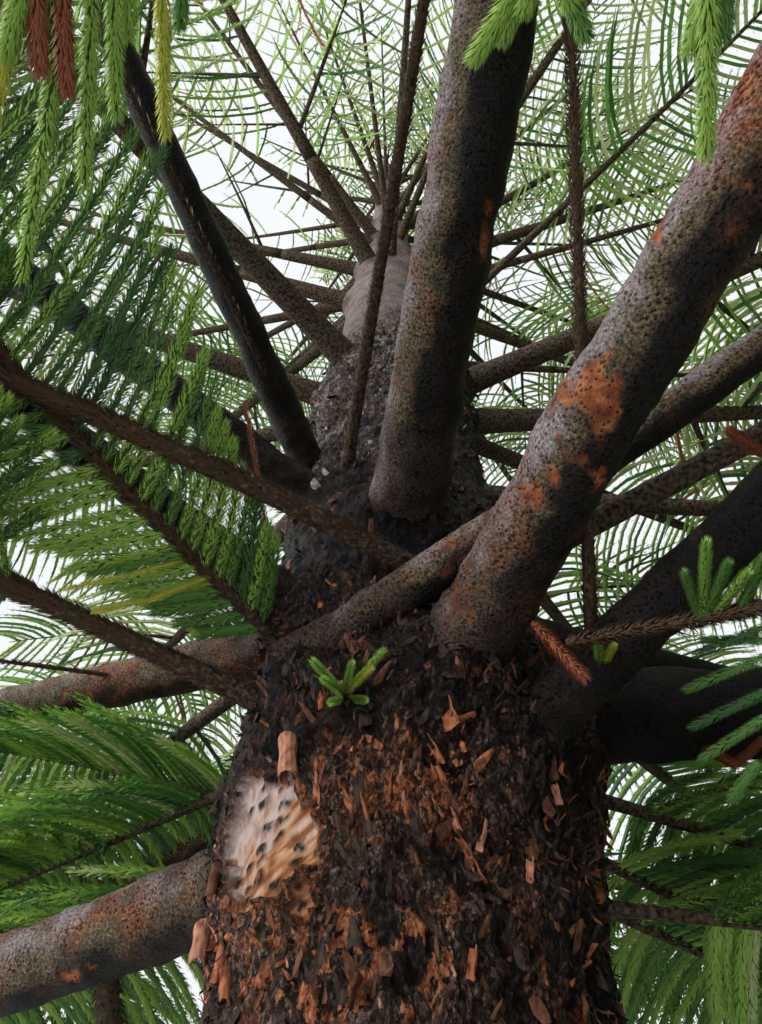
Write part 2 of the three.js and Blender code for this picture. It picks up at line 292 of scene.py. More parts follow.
def pitted(turn, rise, around, salt):
    """Each point's distance from the middle of its jittered cell on the skin, and the cell's share."""
    nearest = np.full(turn.shape, 9.0)
    share = np.zeros(turn.shape)
    for step_u in (-1, 0, 1):
        for step_v in (-1, 0, 1):
            column = np.floor(turn * around) + step_u
            row = np.floor(rise) + step_v
            wrapped = np.mod(column, around)
            away_u = turn * around - column - 0.25 - 0.5 * lattice(wrapped, row, 1, salt)
            away_v = rise - row - 0.25 - 0.5 * lattice(wrapped, row, 2, salt)
            away = np.hypot(away_u, away_v)
            share = np.where(away < nearest, lattice(wrapped, row, 3, salt), share)
            nearest = np.minimum(nearest, away)
    return nearest, share


def trunk_skin(turn, z):
    """Points of the bark's surface and its masks, for turns round the trunk and heights."""
    bearing = (turn - 0.5) * 2 * pi
    outward = np.stack([np.sin(bearing), -np.cos(bearing), np.zeros_like(z)], axis=1)
    plain = trunk_radius(z)
    spot = outward * plain[:, None]
    spot[:, 2] = z

    fade = held(1 - z / FLARE_HEIGHT) ** 2
    lobes = 1 + FLARE_DEPTH * fade * np.cos(FLARE_LOBES * np.arctan2(spot[:, 1], spot[:, 0]))
    collar = np.zeros_like(z)
    for one in THICK_LIMBS:
        swing = np.angle(np.exp(1j * (bearing - radians(one.foot)))) * plain
        drop = z - one.height + 0.12 * one.thick
        near = (swing**2 + (drop * 0.8) ** 2) / (0.9 * one.thick) ** 2
        collar = np.maximum(collar, COLLAR_SHARE * one.thick * np.exp(-near))

    rough = held((SMOOTH_ABOVE - z) / (SMOOTH_ABOVE - ROUGH_BELOW))
    drift = np.stack([cloud(spot, 0.08, salt) for salt in (11, 12, 13)], axis=1) * 0.03
    drift += np.stack([cloud(spot, 0.03, salt) for salt in (14, 15, 16)], axis=1) * 0.01
    grown = (spot + drift) * [1, 1, 0.58]
    layers = 2.7 * cloud(grown, 0.072, 21) + 1.5 * cloud(grown, 0.031, 22) + 0.5 * cloud(grown, 0.013, 23)
    level = np.floor(layers)
    part = layers - level
    edge = held((part - 0.7) / 0.3)
    stair = level + edge * edge * (3 - 2 * edge)
    fibres = (1 - np.abs(cloud(grown * [1, 1, 0.6], 0.024, 24))) ** 2
    crumbs = cloud(spot, 0.0105, 25)
    furrow = held((0.16 - np.abs(cloud((spot + drift) * [1.3, 1.3, 0.36], 0.062, 26))) / 0.16)
    swells = cloud(spot, 0.19, 27)
    degrees = np.degrees(bearing)
    # Painted shade: the damp and shade mask darkens the crust on the side away from the light and in the
    # band among the whorls, where the bark is also damp and glossier, and it thins out the orange flakes
    # there.
    shade = held((degrees - SHADED_BEARINGS[0]) / 34) * held((SHADED_BEARINGS[1] - degrees) / 30)
    damp_and_shade = 0.9 * held((z - DAMP_SHADE_BAND[0]) / 0.12) * held((DAMP_SHADE_BAND[1] - z) / 0.9)
    damp_and_shade = held(np.maximum(damp_and_shade, 0.8 * shade) + 0.3 * cloud(spot, 0.09, 38))
    orange = held(0.52 + 1.4 * cloud(spot, 0.16, 28) + 1.0 * cloud(spot, 0.05, 29) - 1.1 * damp_and_shade)
    flaky = 0.08 + 0.8 * cloud(spot, 0.1, 39) + 1.3 * cloud(spot, 0.03, 40) - 0.95 * damp_and_shade
    flaky = held(flaky * 2.2)
    torn = edge * (1 - edge) * 4 * orange + 0.9 * held((orange - 0.6) * 4) * (part < 0.45)

    scales = (1 - np.abs(cloud(grown * [1, 1, 0.7], 0.0125, 37))) ** 2
    height = LAYER_STEP * (stair + 0.5) + 0.009 * (fibres - 0.4) + 0.006 * (scales - 0.4) + 0.003 * crumbs
    height += 0.01 * swells - 0.006 * furrow**2

    rim = ((degrees - PEEL_BEARING + 60 * (z - PEEL_HEIGHT)) / PEEL_WIDE) ** 2
    rim = rim + ((z - PEEL_HEIGHT) / PEEL_TALL) ** 2
    rim = rim + 0.7 * cloud(spot, 0.045, 31) + 0.5 * cloud(spot, 0.016, 32)
    peel = held((1 - rim) * 7)
    lip = held(1 - np.abs(rim - 1.12) / 0.16)
    away, share = pitted(turn, z / KNOT_RISE, KNOTS_AROUND, 33)
    knot = held((0.22 + 0.18 * share - away + 0.26 * cloud(spot, 0.01, 34)) * 9)
    knot = knot * peel * (share > 0.3)
    sideways = bearing * plain
    streaks = np.stack([0.93 * sideways + 0.37 * z, 4.5 * (0.93 * z - 0.37 * sideways), 0 * z], axis=1)
    band = 0.4 + 0.5 * cloud(streaks, 0.06, 42) + 0.3 * cloud(streaks, 0.022, 43)
    band = band + 0.014 * (degrees - PEEL_BEARING) - 2.4 * (z - PEEL_HEIGHT)
    height = height * (1 - peel) + (-0.01 + 0.003 * cloud(spot, 0.06, 35) + 0.004 * knot) * peel
    height += 0.008 * lip
    height = height * (0.03 + 0.97 * rough)

    above_cut = held(z / 0.03)
    radius = plain * lobes + collar + height * (0.4 + 0.6 * above_cut)
    radius = np.where(z > LEADER_FROM, plain, radius)
    points = outward * radius[:, None]
    points[:, 2] = z + 0.25 * drift[:, 2] * above_cut * rough
    masks = dict(
        tone=held(0.5 + 0.16 * level + 0.35 * cloud(spot, 0.025, 36) + 0.25 * swells),
        torn=held(torn + 0.7 * lip) * rough,
        peel=peel,
        knot=knot,
        band=held(band),
        depth=held(0.3 - height / 0.034) * rough * (1 - peel),
        flaky=flaky * rough * (1 - peel),
        damp_and_shade=damp_and_shade * rough,
        papery=held((z - PAPERY_ABOVE) / 0.4) * rough,
        young=1 - rough,
    )
    return points, masks


def wrapped_skin(name, around, rows, skin):
    """A closed tube: a flat grid wrapped round, welded along its seam and filled at both ends."""
    sheet = bmesh.new()
    bmesh.ops.create_grid(sheet, x_segments=around, y_segments=rows, size=0.5)
    mesh = bpy.data.meshes.new(name)
    sheet.to_mesh(mesh)
    sheet.free()
    flat = np.empty(len(mesh.vertices) * 3)
    mesh.vertices.foreach_get("co", flat)
    flat = flat.reshape(-1, 3)
    turn, share = flat[:, 0] + 0.5, flat[:, 1] + 0.5
    points, masks = skin(turn + FRONT_FINER * np.sin(turn * 2 * pi) / (2 * pi), share)
    mesh.vertices.foreach_set("co", points.astype(np.float32).ravel())
    for mask, values in masks.items():
        layer = mesh.attributes.new(mask, "FLOAT", "POINT")
        layer.data.foreach_set("value", np.asarray(values, np.float32))
    tube = bmesh.new()
    tube.from_mesh(mesh)
    bmesh.ops.remove_doubles(tube, verts=tube.verts, dist=1e-6)
    rims = [edge for edge in tube.edges if edge.is_boundary]
    bmesh.ops.holes_fill(tube, edges=rims, sides=0)
    bmesh.ops.recalc_face_normals(tube, faces=tube.faces)
    tube.to_mesh(mesh)
    tube.free()
    mesh.shade_smooth()
    return object_of(name, mesh)


def mask_node(tree, name):
    """One of the masks that the piece's own points carry."""
    return added(tree, "Attribute", {}, attribute_name=name).outputs["Fac"]


def mixed(tree, share, first, second, blend="MIX"):
    """One colour over another by a share. Each is a tuple or another node's output."""
    first, second = ((*one, 1) if isinstance(one, tuple) else one for one in (first, second))
    inputs = {0: share, 6: first, 7: second}
    return added(tree, "Mix", inputs, data_type="RGBA", blend_type=blend).outputs[2]


def dyed(tree, first, second):
    """One colour multiplied by another."""
    return mixed(tree, 1.0, first, second, "MULTIPLY")


def ramp_node(tree, value, stops):
    """The colour for a value, by places and their colours. A number stands for a grey."""
    node = added(tree, "ValToRGB", {"Fac": value})
    while len(node.color_ramp.elements) < len(stops):
        node.color_ramp.elements.new(0.5)
    for element, (place, colour) in zip(node.color_ramp.elements, stops):
        element.position = place
        element.color = (*colour, 1) if isinstance(colour, tuple) else (colour, colour, colour, 1)
    return node.outputs["Color"]


grain_group = bpy.data.node_groups.new("bark_grain", "ShaderNodeTree")
for socket, kind in (
    ("Scale", "Float"), ("Detail", "Float"), ("Roughness", "Float"), ("Stretch", "Vector"),
    ("From", "Float"), ("To", "Float"), ("Dark", "Color"), ("Pale", "Color"), ("Relief", "Float"),
):
    grain_group.interface.new_socket(name=socket, in_out="INPUT", socket_type="NodeSocket" + kind)
for socket, kind in (("Share", "Float"), ("Colour", "Color"), ("Normal", "Vector")):
    grain_group.interface.new_socket(name=socket, in_out="OUTPUT", socket_type="NodeSocket" + kind)
given = grain_group.nodes.new("NodeGroupInput").outputs
place = added(grain_group, "TexCoord", {}).outputs["Object"]
stretched = added(grain_group, "Mapping", {"Vector": place, "Scale": given["Stretch"]}).outputs[0]
noise = added(grain_group, "TexNoise", {
    "Vector": stretched, "Scale": given["Scale"], "Detail": given["Detail"],
    "Roughness": given["Roughness"],
}).outputs["Fac"]
spread = added(grain_group, "MapRange", {
    "Value": noise, "From Min": given["From"], "From Max": given["To"],
}).outputs[0]
bump = added(grain_group, "Bump", {"Distance": given["Relief"], "Height": noise}).outputs["Normal"]
fed(grain_group, grain_group.nodes.new("NodeGroupOutput"), {
    "Share": noise, "Colour": mixed(grain_group, spread, given["Dark"], given["Pale"]), "Normal": bump,
})


def grained(tree, scale, detail=5, roughness=0.6, stretch=(1, 1, 1), relief=0.0, tones=None):
    """The shared grain in a material. The tones are two places on the noise and their colours."""
    start, dark, end, pale = tones or (0.4, (0, 0, 0), 0.6, (1, 1, 1))
    return added(tree, "Group", {
        "Scale": scale, "Detail": detail, "Roughness": roughness, "Stretch": stretch, "From": start,
        "To": end, "Dark": (*dark, 1), "Pale": (*pale, 1), "Relief": relief,
    }, node_tree=grain_group).outputs


def maths(tree, operation, *values):
    """A sum or product of values. Each is a number or another node's output."""
    return added(tree, "Math", dict(enumerate(values)), operation=operation).outputs[0]


trunk_finish, tree, shader = finish_named("trunk_bark", 0.55, 0.14)
grit = grained(tree, 150, 6, 0.72, (1, 1, 0.5), 0.01)
fleck = grained(tree, 52, 4, 0.6, (1, 1, 0.6))["Share"]
chips = grained(tree, 46, 4, 0.58, (1, 1, 0.6))["Share"]
chip = ramp_node(tree, chips, [(0.492, 0), (0.508, 1)])
# A painted shadow: a dark rim round the edge of each painted flake.
flake_rim_shadow = ramp_node(tree, chips, [
    (0.446, 1), (0.474, (0.1, 0.09, 0.09)), (0.494, (0.1, 0.09, 0.09)), (0.504, 1),
])
crust = ramp_node(tree, grit["Share"], [
    (0.4, (0.004, 0.003, 0.002)), (0.48, (0.03, 0.02, 0.016)),
    (0.57, (0.13, 0.086, 0.066)), (0.68, (0.42, 0.31, 0.26)),
])
tone = ramp_node(tree, mask_node(tree, "tone"), [
    (0.1, (0.35, 0.33, 0.32)), (0.9, (1.5, 1.4, 1.34)),
])
colour = dyed(tree, crust, tone)
chip_tone = ramp_node(tree, grit["Share"], [
    (0.36, (0.06, 0.016, 0.007)), (0.5, (0.28, 0.082, 0.034)), (0.66, (0.64, 0.29, 0.15)),
])
rusty = ramp_node(tree, fleck, [(0.38, 0), (0.52, 1)])
torn = maths(tree, "MULTIPLY", mask_node(tree, "torn"), rusty)
flaked = maths(tree, "MULTIPLY", mask_node(tree, "flaky"), chip)
torn = maths(tree, "MAXIMUM", torn, flaked)
papery_tone = ramp_node(tree, grit["Share"], [
    (0.4, (0.09, 0.07, 0.062)), (0.52, (0.27, 0.215, 0.195)), (0.64, (0.6, 0.53, 0.51)),
])
chip_tone = mixed(tree, mask_node(tree, "papery"), chip_tone, papery_tone)
colour = mixed(tree, torn, colour, chip_tone)
colour = dyed(tree, colour, flake_rim_shadow)
# Painted shade: the crust is darkened where the damp and shade mask is, on the side away from the light
# and among the whorls; the damp band is also glossier.
soaked_and_shaded = dyed(tree, colour, (0.16, 0.15, 0.17))
colour = mixed(tree, mask_node(tree, "damp_and_shade"), colour, soaked_and_shaded)
wetness = maths(tree, "MULTIPLY_ADD", mask_node(tree, "damp_and_shade"), -0.24, 0.54)
young = grained(tree, 13, 4, 0.5, tones=(0.35, (0.1, 0.076, 0.068), 0.65, (0.25, 0.2, 0.188)))["Colour"]
speckled = ramp_node(tree, grit["Share"], [(0.4, (0.22, 0.2, 0.2)), (0.52, (1.15, 1.08, 1.05))])
young = dyed(tree, young, speckled)
colour = mixed(tree, mask_node(tree, "young"), colour, young)
pale_wood = ramp_node(tree, mask_node(tree, "band"), [
    (0.2, (0.64, 0.49, 0.46)), (0.42, (0.62, 0.42, 0.31)),
    (0.64, (0.6, 0.29, 0.13)), (0.9, (0.3, 0.105, 0.045)),
])
mealy = ramp_node(tree, fleck, [(0.36, (0.62, 0.52, 0.46)), (0.54, 1)])
pale_wood = dyed(tree, pale_wood, mealy)
colour = mixed(tree, mask_node(tree, "peel"), colour, pale_wood)
# Painted shade: the deepest hollows of the crust turn near black.
shaded_crack = {"Value": mask_node(tree, "depth"), "From Min": 0.45, "From Max": 0.85}
colour = mixed(tree, added(tree, "MapRange", shaded_crack).outputs[0], colour, (0.006, 0.005, 0.005))
crumbly = ramp_node(tree, fleck, [(0.4, 0.3), (0.5, 1)])
knots = maths(tree, "MULTIPLY", mask_node(tree, "knot"), crumbly)
colour = mixed(tree, knots, colour, (0.014, 0.01, 0.009))
relief = maths(tree, "MULTIPLY", chip, mask_node(tree, "flaky"))
bump = added(tree, "Bump", {"Distance": CHIP_RELIEF, "Height": relief, "Normal": grit["Normal"]})
fed(tree, shader, {"Base Color": colour, "Roughness": wetness, "Normal": bump.outputs["Normal"]})

TRUNK_PIECES = {
    # from, to, facets round it and rows up it
    "trunk_foot": (0.0, 1.8, 170, 150),
    "trunk_low": (1.79, 2.66, 320, 216),
    "trunk_middle": (2.65, 3.95, 260, 230),
    "trunk_high": (3.94, 6.6, 130, 220),
    "trunk_top": (6.59, TREE_HEIGHT, 48, 200),
}
for name, (low, high, around, rows) in TRUNK_PIECES.items():
    piece = wrapped_skin(
        name, around, rows, lambda turn, share: trunk_skin(turn, low + (high - low) * share),
    )
    piece.data.materials.append(trunk_finish)
    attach(piece, "root")
    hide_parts("trunk")


# Loose bark: curled papery strips and crumbs that stand off the crust, most of them dark and some
# orange inside. Each is a thin crescent in section, held at one end, and all are one joined piece.
LOOSE_COUNT = 6600
LOOSE_LENGTHS = (0.012, 0.05)
LOOSE_TOP = 4.45
LOOSE_FOOT = 0.25
FLAKIEST = (1.85, 2.75)
FLAKIEST_SHARE = 0.42
ROLLS = [
    # bearing, height, length, radius, share of a turn, tilt of the rolled curls
    (-33.5, 2.3, 0.08, 0.0165, 0.95, -7), (11, 2.325, 0.05, 0.016, 0.42, -14),
    (15, 2.33, 0.035, 0.015, 0.4, 60), (16.5, 2.225, 0.04, 0.006, 0.62, 14),
    (20, 2.15, 0.045, 0.008, 0.55, 16), (-11, 2.19, 0.055, 0.005, 0.6, -12),
    (-4, 2.215, 0.05, 0.005, 0.5, 6), (-63, 2.175, 0.05, 0.01, 0.7, 8),
    (-65, 2.085, 0.06, 0.014, 0.55, -8), (-57, 2.045, 0.05, 0.01, 0.55, 14),
    (70, 2.19, 0.05, 0.011, 0.5, -4), (2, 2.11, 0.03, 0.006, 0.6, -20),
    (33, 2.12, 0.035, 0.007, 0.5, 12), (8.2, 2.272, 0.05, 0.007, 0.5, -24),
    (9.8, 2.235, 0.035, 0.006, 0.55, -20), (11.6, 2.2, 0.04, 0.006, 0.55, -26),
    (13.2, 2.168, 0.036, 0.007, 0.5, -18), (15.4, 2.135, 0.038, 0.006, 0.55, -30),
    (18.4, 2.108, 0.042, 0.008, 0.5, -24), (42.8, 2.285, 0.04, 0.007, 0.55, 4),
    (43.4, 2.242, 0.034, 0.006, 0.5, -6), (13.3, 1.976, 0.036, 0.008, 0.45, 12),
    (-47.5, 1.991, 0.044, 0.01, 0.55, -14), (-13.0, 1.95, 0.038, 0.008, 0.45, 20),
]
ROLL_THICKNESS = 0.0012
SKIN_RADIUS = 0.3
# The height and bearing about which fewer loose strips are warm and more are dark: painted shade in the
# band among the whorls and on the side away from the light.
DAMP_SHADE_LEVEL = 2.68
STRIP_SHADE_BEARING = 80
GREY_ABOVE = 3.05
CURL_ROWS = 7
CURL_COLUMNS = 11


def rolled_curl(bearing, z, length, radius, share, tilt):
    """A sheet of bark rolled on itself, hanging on the trunk's skin by one of its long edges."""
    skin = trunk_skin(np.array([bearing / 360 + 0.5]), np.array([z]))[0][0]
    outward = unit(skin * [1, 1, 0])
    level = np.cross([0, 0, 1], outward)
    lean = radians(tilt)
    lengthwise = cos(lean) * np.array([0, 0, 1]) + sin(lean) * level
    across = np.cross(lengthwise, outward)
    stations = np.linspace(-0.5, 0.5, CURL_ROWS)
    sweep = np.linspace(0, 1, CURL_COLUMNS)
    wave = 1 + 0.1 * np.sin(stations * 9 + bearing)
    points = []
    for inner in (0, ROLL_THICKNESS):
        turned = sweep * share * 2 * pi - 0.5 * pi - 0.3
        r = radius * (1 - 0.22 * sweep)[None] * wave[:, None] - inner
        ragged = length * (stations[:, None] + 0.05 * np.sin(sweep * 7 + bearing)[None])
        out = r * np.sin(turned)[None] + radius * 0.92
        side = r * np.cos(turned)[None]
        points.append(
            skin + lengthwise * ragged[..., None] + outward * out[..., None] + across * side[..., None]
        )
    return np.stack(points).reshape(-1, 3)


def strip_points(turn, z, length, width, lift, tilt, hang):
    """Corner points of curled strips: four stations along each, of three points across."""
    stations = np.array([-0.5, -0.2, 0.15, 0.5])[None]
    lean = np.radians(tilt)[:, None]
    rise = length[:, None] * stations * np.cos(lean)
    swing = length[:, None] * stations * np.sin(lean)
    half = np.array([0.55, 1.0, 0.85, 0.35])[None] * width[:, None] / 2
    loose = held(0.5 + stations * hang[:, None]) ** 1.6 * lift[:, None]
    rows = []
    for across, proud in ((-1, 0.0), (0, 1.0), (1, 0.0)):
        level = z[:, None] + rise - across * half * np.sin(lean)
        around = turn[:, None] + (swing + across * half * np.cos(lean)) / (2 * pi * SKIN_RADIUS)
        skin = trunk_skin(around.ravel(), np.clip(level, 0.01, 9).ravel())[0].reshape(*around.shape, 3)
        away = unit(skin * [1, 1, 0])
        stand = loose - 0.002 + proud * np.minimum(half * 0.8, 0.0028) + (1 - proud) * 0.0012
        rows.append(skin + away * stand[..., None])
    return np.stack(rows, axis=2)


def tube_walls(rings, around):
    """Triangles of the wall of a tube, whose rings of points follow one another."""
    a = np.arange((rings - 1) * around)
    b = a - a % around + (a + 1) % around
    return np.stack([a, b, b + around, a, b + around, a + around], axis=1).reshape(-1, 3)


def joined_piece(name, points, triangles, kinds, finishes, smooth):
    """One piece from arrays of points, triangles and each triangle's place in the finishes."""
    mesh = bpy.data.meshes.new(name)
    mesh.vertices.add(len(points))
    mesh.vertices.foreach_set("co", np.asarray(points, np.float32).ravel())
    mesh.loops.add(triangles.size)
    mesh.loops.foreach_set("vertex_index", triangles.astype(np.int32).ravel())
    mesh.polygons.add(len(triangles))
    mesh.polygons.foreach_set("loop_start", np.arange(0, triangles.size, 3, dtype=np.int32))
    for finish in finishes:
        mesh.materials.append(finish)
    mesh.polygons.foreach_set("material_index", np.asarray(kinds, np.int32))
    mesh.polygons.foreach_set("use_smooth", np.full(len(triangles), smooth))
    mesh.update(calc_edges=True)
    return object_of(name, mesh)


loose_finishes = []
for name, dark, pale in (
    ("loose_dark", (0.007, 0.005, 0.004), (0.055, 0.036, 0.028)),
    ("loose_brown", (0.036, 0.014, 0.008), (0.15, 0.062, 0.036)),
    ("loose_orange", (0.095, 0.026, 0.01), (0.4, 0.14, 0.062)),
    ("loose_tan", (0.17, 0.064, 0.038), (0.52, 0.245, 0.155)),
    ("loose_grey", (0.13, 0.104, 0.094), (0.5, 0.43, 0.405)),
):
    finish, tree, shader = finish_named(name, 0.72, 0.12)
    streaks = grained(tree, 130, 4, 0.5, (1, 1, 0.4), 0.0015, (0.32, dark, 0.66, pale))
    fed(tree, shader, {"Base Color": streaks["Colour"], "Normal": streaks["Normal"]})
    loose_finishes.append(finish)

luck = np.array([lattice(np.arange(LOOSE_COUNT), 0, part, 41) for part in range(10)])
turns = luck[0]
levels = LOOSE_FOOT + (LOOSE_TOP - LOOSE_FOOT) * luck[1] ** 0.72
in_band = FLAKIEST[0] + (FLAKIEST[1] - FLAKIEST[0]) * luck[1]
levels = np.where(luck[9] < FLAKIEST_SHARE, in_band, levels)
off_patch = trunk_skin(turns, levels)[1]["peel"] < 0.05
luck, turns, levels = luck[:, off_patch], turns[off_patch], levels[off_patch]
lengths = LOOSE_LENGTHS[0] + (LOOSE_LENGTHS[1] - LOOSE_LENGTHS[0]) * luck[2] ** 3.0
widths = lengths * (0.18 + 0.27 * luck[3])
bearings = (turns - 0.5) * 2 * pi
spots = [np.sin(bearings) * SKIN_RADIUS, -np.cos(bearings) * SKIN_RADIUS, levels]
warm = 0.42 + 1.5 * cloud(np.stack(spots, axis=1), 0.16, 28)
# Painted shade: fewer strips are warm in the band among the whorls and on the side away from the light,
# so more of them are dark there.
warm = warm - 0.6 * (np.abs(levels - DAMP_SHADE_LEVEL) < 0.36)
warm = held(warm - 0.6 * (np.abs(np.degrees(bearings) - STRIP_SHADE_BEARING) < 55))
tints = np.where(luck[7] < 0.7 - 0.5 * warm, 0, np.where(luck[7] < 0.95 - 0.45 * warm, 1, 2))
tints = np.where((tints == 2) & (luck[8] > 0.88), 3, tints)
tints = np.where((tints > 1) & (levels > GREY_ABOVE) & (luck[8] > 0.15), 4, tints)
corners = strip_points(
    turns, levels, lengths, widths, 0.002 + 0.02 * luck[4] ** 2.5,
    (luck[5] - 0.5) * 80, np.where(luck[6] < 0.5, -1.0, 1.0),
)
strip = np.array([*tube_walls(4, 3), (2, 1, 0), (9, 10, 11)])
loose_points = [corners.reshape(-1, 3)]
loose_triangles = [(strip[None] + (np.arange(len(turns)) * 12)[:, None, None]).reshape(-1, 3)]
loose_tints = [np.repeat(tints, len(strip))]
# A rolled curl's two faces and the rim between them
grid = np.arange(CURL_ROWS * CURL_COLUMNS).reshape(CURL_ROWS, CURL_COLUMNS)
quads = np.stack([grid[:-1, :-1], grid[:-1, 1:], grid[1:, 1:], grid[1:, :-1]], axis=2).reshape(-1, 4)
rim = np.concatenate([grid[0], grid[1:, -1], grid[-1, -2::-1], grid[-2::-1, 0]])
rim = np.stack([rim[1:], rim[:-1], rim[:-1] + grid.size, rim[1:] + grid.size], axis=1)
quads = np.concatenate([quads, quads[:, ::-1] + grid.size, rim])
sheet = quads[:, [[0, 1, 2], [0, 2, 3]]].reshape(-1, 3)
for index, roll in enumerate(ROLLS):
    first = sum(len(part) for part in loose_points)
    loose_points.append(rolled_curl(*roll))
    loose_triangles.append(sheet + first)
    loose_tints.append(np.full(len(sheet), (3, 2, 2, 1)[index % 4]))
piece = joined_piece(
    "loose_bark", np.concatenate(loose_points), np.concatenate(loose_triangles),
    np.concatenate(loose_tints), loose_finishes, False,
)
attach(piece, "root")
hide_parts("trunk")


# The boughs: limbs with a swollen foot, in thin olive-brown bark that is dotted with raised scars
# of fallen needles and red-brown where it has scaled off. Each grows out of the trunk.
TIP_LIFT = 0.06
BOUGH_END_SHARE = 0.8
FROND_END_THICK = 0.009
FOOT_FLARE = 0.32
FLARE_REACH = 0.1
SCAR_SPACING = 0.0088
SCAR_RELIEF = 0.0045
THICK_BOUGH = 0.09
THICK_FACETS = 56
THIN_FACETS = 36
BOUGH_ROW = 0.009
# The side of each bough that faces the light: its bark is painted pale there, as painted light, and near
# black on the far side, as painted shade.
LIT_SIDE = np.array([-0.9, -0.22, 0.3])
WORN_PLACES = {("low", 7): (0.53, 0.1), ("second", 6): (0.75, 0.1)}
# Limbs darkened near the trunk as painted shade, by how strong it is; their bark there is also taken as
# damp and glossier.
DAMP_SHADED_LIMBS = {
    ("low", 5): 1.1, ("low", 6): 0.85, ("second", 7): 1.0, ("second", 3): 0.35, ("second", 2): 0.4,
    ("second", 4): 0.55,
}


def limb_line(one, distance):
    """Points on a limb's middle line, at level distances from its foot inside the trunk."""
    foot, bearing = radians(one.foot), radians(one.bearing)
    depth = one.depth * float(trunk_radius(one.height))
    start = np.array([sin(foot) * depth, -cos(foot) * depth, one.height])
    along = np.array([sin(bearing), -cos(bearing), tan(radians(one.rise))])
    aside = np.array([cos(bearing), sin(bearing), 0])
    gone = np.asarray(distance, float)[..., None]
    share = gone / one.reach
    lifted = np.array([0, 0, TIP_LIFT * one.reach]) * share**4
    return start + along * gone + aside * one.sway * share**2 + lifted


def limb_thickness(one, distance):
    """A limb's thickness at distances from its foot."""
    ends = [one.thick, one.thick * BOUGH_END_SHARE, FROND_END_THICK]
    return np.interp(distance, [0, one.bare, one.reach], ends)


def frames_along(one, distance):
    """A limb's middle points with the directions along, beside and above it."""
    middle = limb_line(one, distance)
    along = unit(limb_line(one, distance + 0.002) - limb_line(one, distance - 0.002))
    beside = unit(np.cross(along, [0, 0, 1]))
    return middle, along, beside, np.cross(beside, along)


def bough_skin(one, worn_place, damp_and_shade, turn, share):
    """Points of a bough's surface and its masks, for turns round it and shares of its bare part."""
    distance = share * one.bare
    middle, along, beside, above = frames_along(one, distance)
    angle = turn[:, None] * 2 * pi
    outward = np.cos(angle) * beside + np.sin(angle) * above
    radius = limb_thickness(one, distance) / 2
    radius = radius * (1 + FOOT_FLARE * np.exp(-distance / FLARE_REACH))
    spot = middle + outward * radius[:, None]
    size = one.thick / 0.15
    wrinkle = (cloud(spot, 0.07, 51) * 0.006 + cloud(spot, 0.024, 52) * 0.0022) * size
    crust = held(1.25 - distance / 0.3 + 0.7 * cloud(spot, 0.05, 53))
    wrinkle = wrinkle + crust * (cloud(spot, 0.022, 54) * 0.005 + cloud(spot, 0.01, 55) * 0.0024)
    patch = cloud(spot * [1, 1, 0.8], 0.09, 56) + 0.5 * cloud(spot, 0.03, 57)
    patch = patch + 0.25 * cloud(spot, 0.012, 60)
    patch = patch + 1.0 * np.exp(-(((distance - worn_place[0]) / worn_place[1]) ** 2))
    patch = patch - 0.5 * damp_and_shade
    worn = held((patch - 0.74) * 14)
    torn_edge = held(1 - np.abs(patch - 0.72) / 0.055)
    # Painted light and shade: the mask is high on the side towards the light and low on the far side and
    # on damp, shaded limbs, with some random mottling.
    painted_lit_side = 0.24 + 0.95 * outward @ LIT_SIDE - damp_and_shade
    painted_lit_side = held(painted_lit_side + 0.26 * cloud(spot, 0.06, 58) + 0.16 * cloud(spot, 0.021, 59))
    stain = 0.12 + 0.9 * cloud(spot * [1, 1, 0.7], 0.15, 61) + 0.5 * cloud(spot, 0.04, 62) - damp_and_shade
    stain = held(stain + 0.35 * np.exp(-distance / 0.2) - 0.25 * (painted_lit_side < 0.25))
    points = spot + outward * (wrinkle - 0.003 * worn + 0.0022 * torn_edge)[:, None]
    crust = np.maximum(crust, 0.8 * torn_edge)
    # Painted shade: the damp, shaded limbs are darker towards the trunk.
    soaked_and_shaded = held(damp_and_shade * 1.25 - 0.9 * distance)
    return points, dict(worn=worn, crust=crust, painted_lit_side=painted_lit_side, stain=stain, soaked_and_shaded=soaked_and_shaded)


bough_finish, tree, shader = finish_named("bough_bark", 0.6, 0.14)
mottle = grained(tree, 30, 5, 0.62)["Share"]
grain = grained(tree, 190, 5, 0.66)["Share"]
# The bark in painted shade, in between, and in painted light, chosen by the lit-side mask; the side in
# painted shade is also glossier.
shaded_skin = ramp_node(tree, grain, [(0.38, 0.003), (0.64, (0.026, 0.02, 0.018))])
brown_skin = ramp_node(tree, grain, [
    (0.37, (0.024, 0.017, 0.009)), (0.52, (0.098, 0.074, 0.042)), (0.66, (0.23, 0.18, 0.112)),
])
lit_skin = ramp_node(tree, grain, [
    (0.36, (0.085, 0.068, 0.066)), (0.52, (0.225, 0.188, 0.188)), (0.66, (0.39, 0.34, 0.34)),
])
painted_lit_side = mask_node(tree, "painted_lit_side")
out_of_shade = ramp_node(tree, painted_lit_side, [(0.14, 0), (0.42, 1)])
towards_lit = ramp_node(tree, painted_lit_side, [(0.62, 0), (0.94, 1)])
skin = mixed(tree, out_of_shade, shaded_skin, brown_skin)
skin = mixed(tree, towards_lit, skin, lit_skin)
stained = ramp_node(tree, grain, [
    (0.36, (0.06, 0.018, 0.009)), (0.52, (0.215, 0.066, 0.028)), (0.68, (0.4, 0.16, 0.075)),
])
blotched = ramp_node(tree, mottle, [(0.38, 0.2), (0.58, 1)])
stain = maths(tree, "MULTIPLY", mask_node(tree, "stain"), blotched)
skin = mixed(tree, stain, skin, stained)
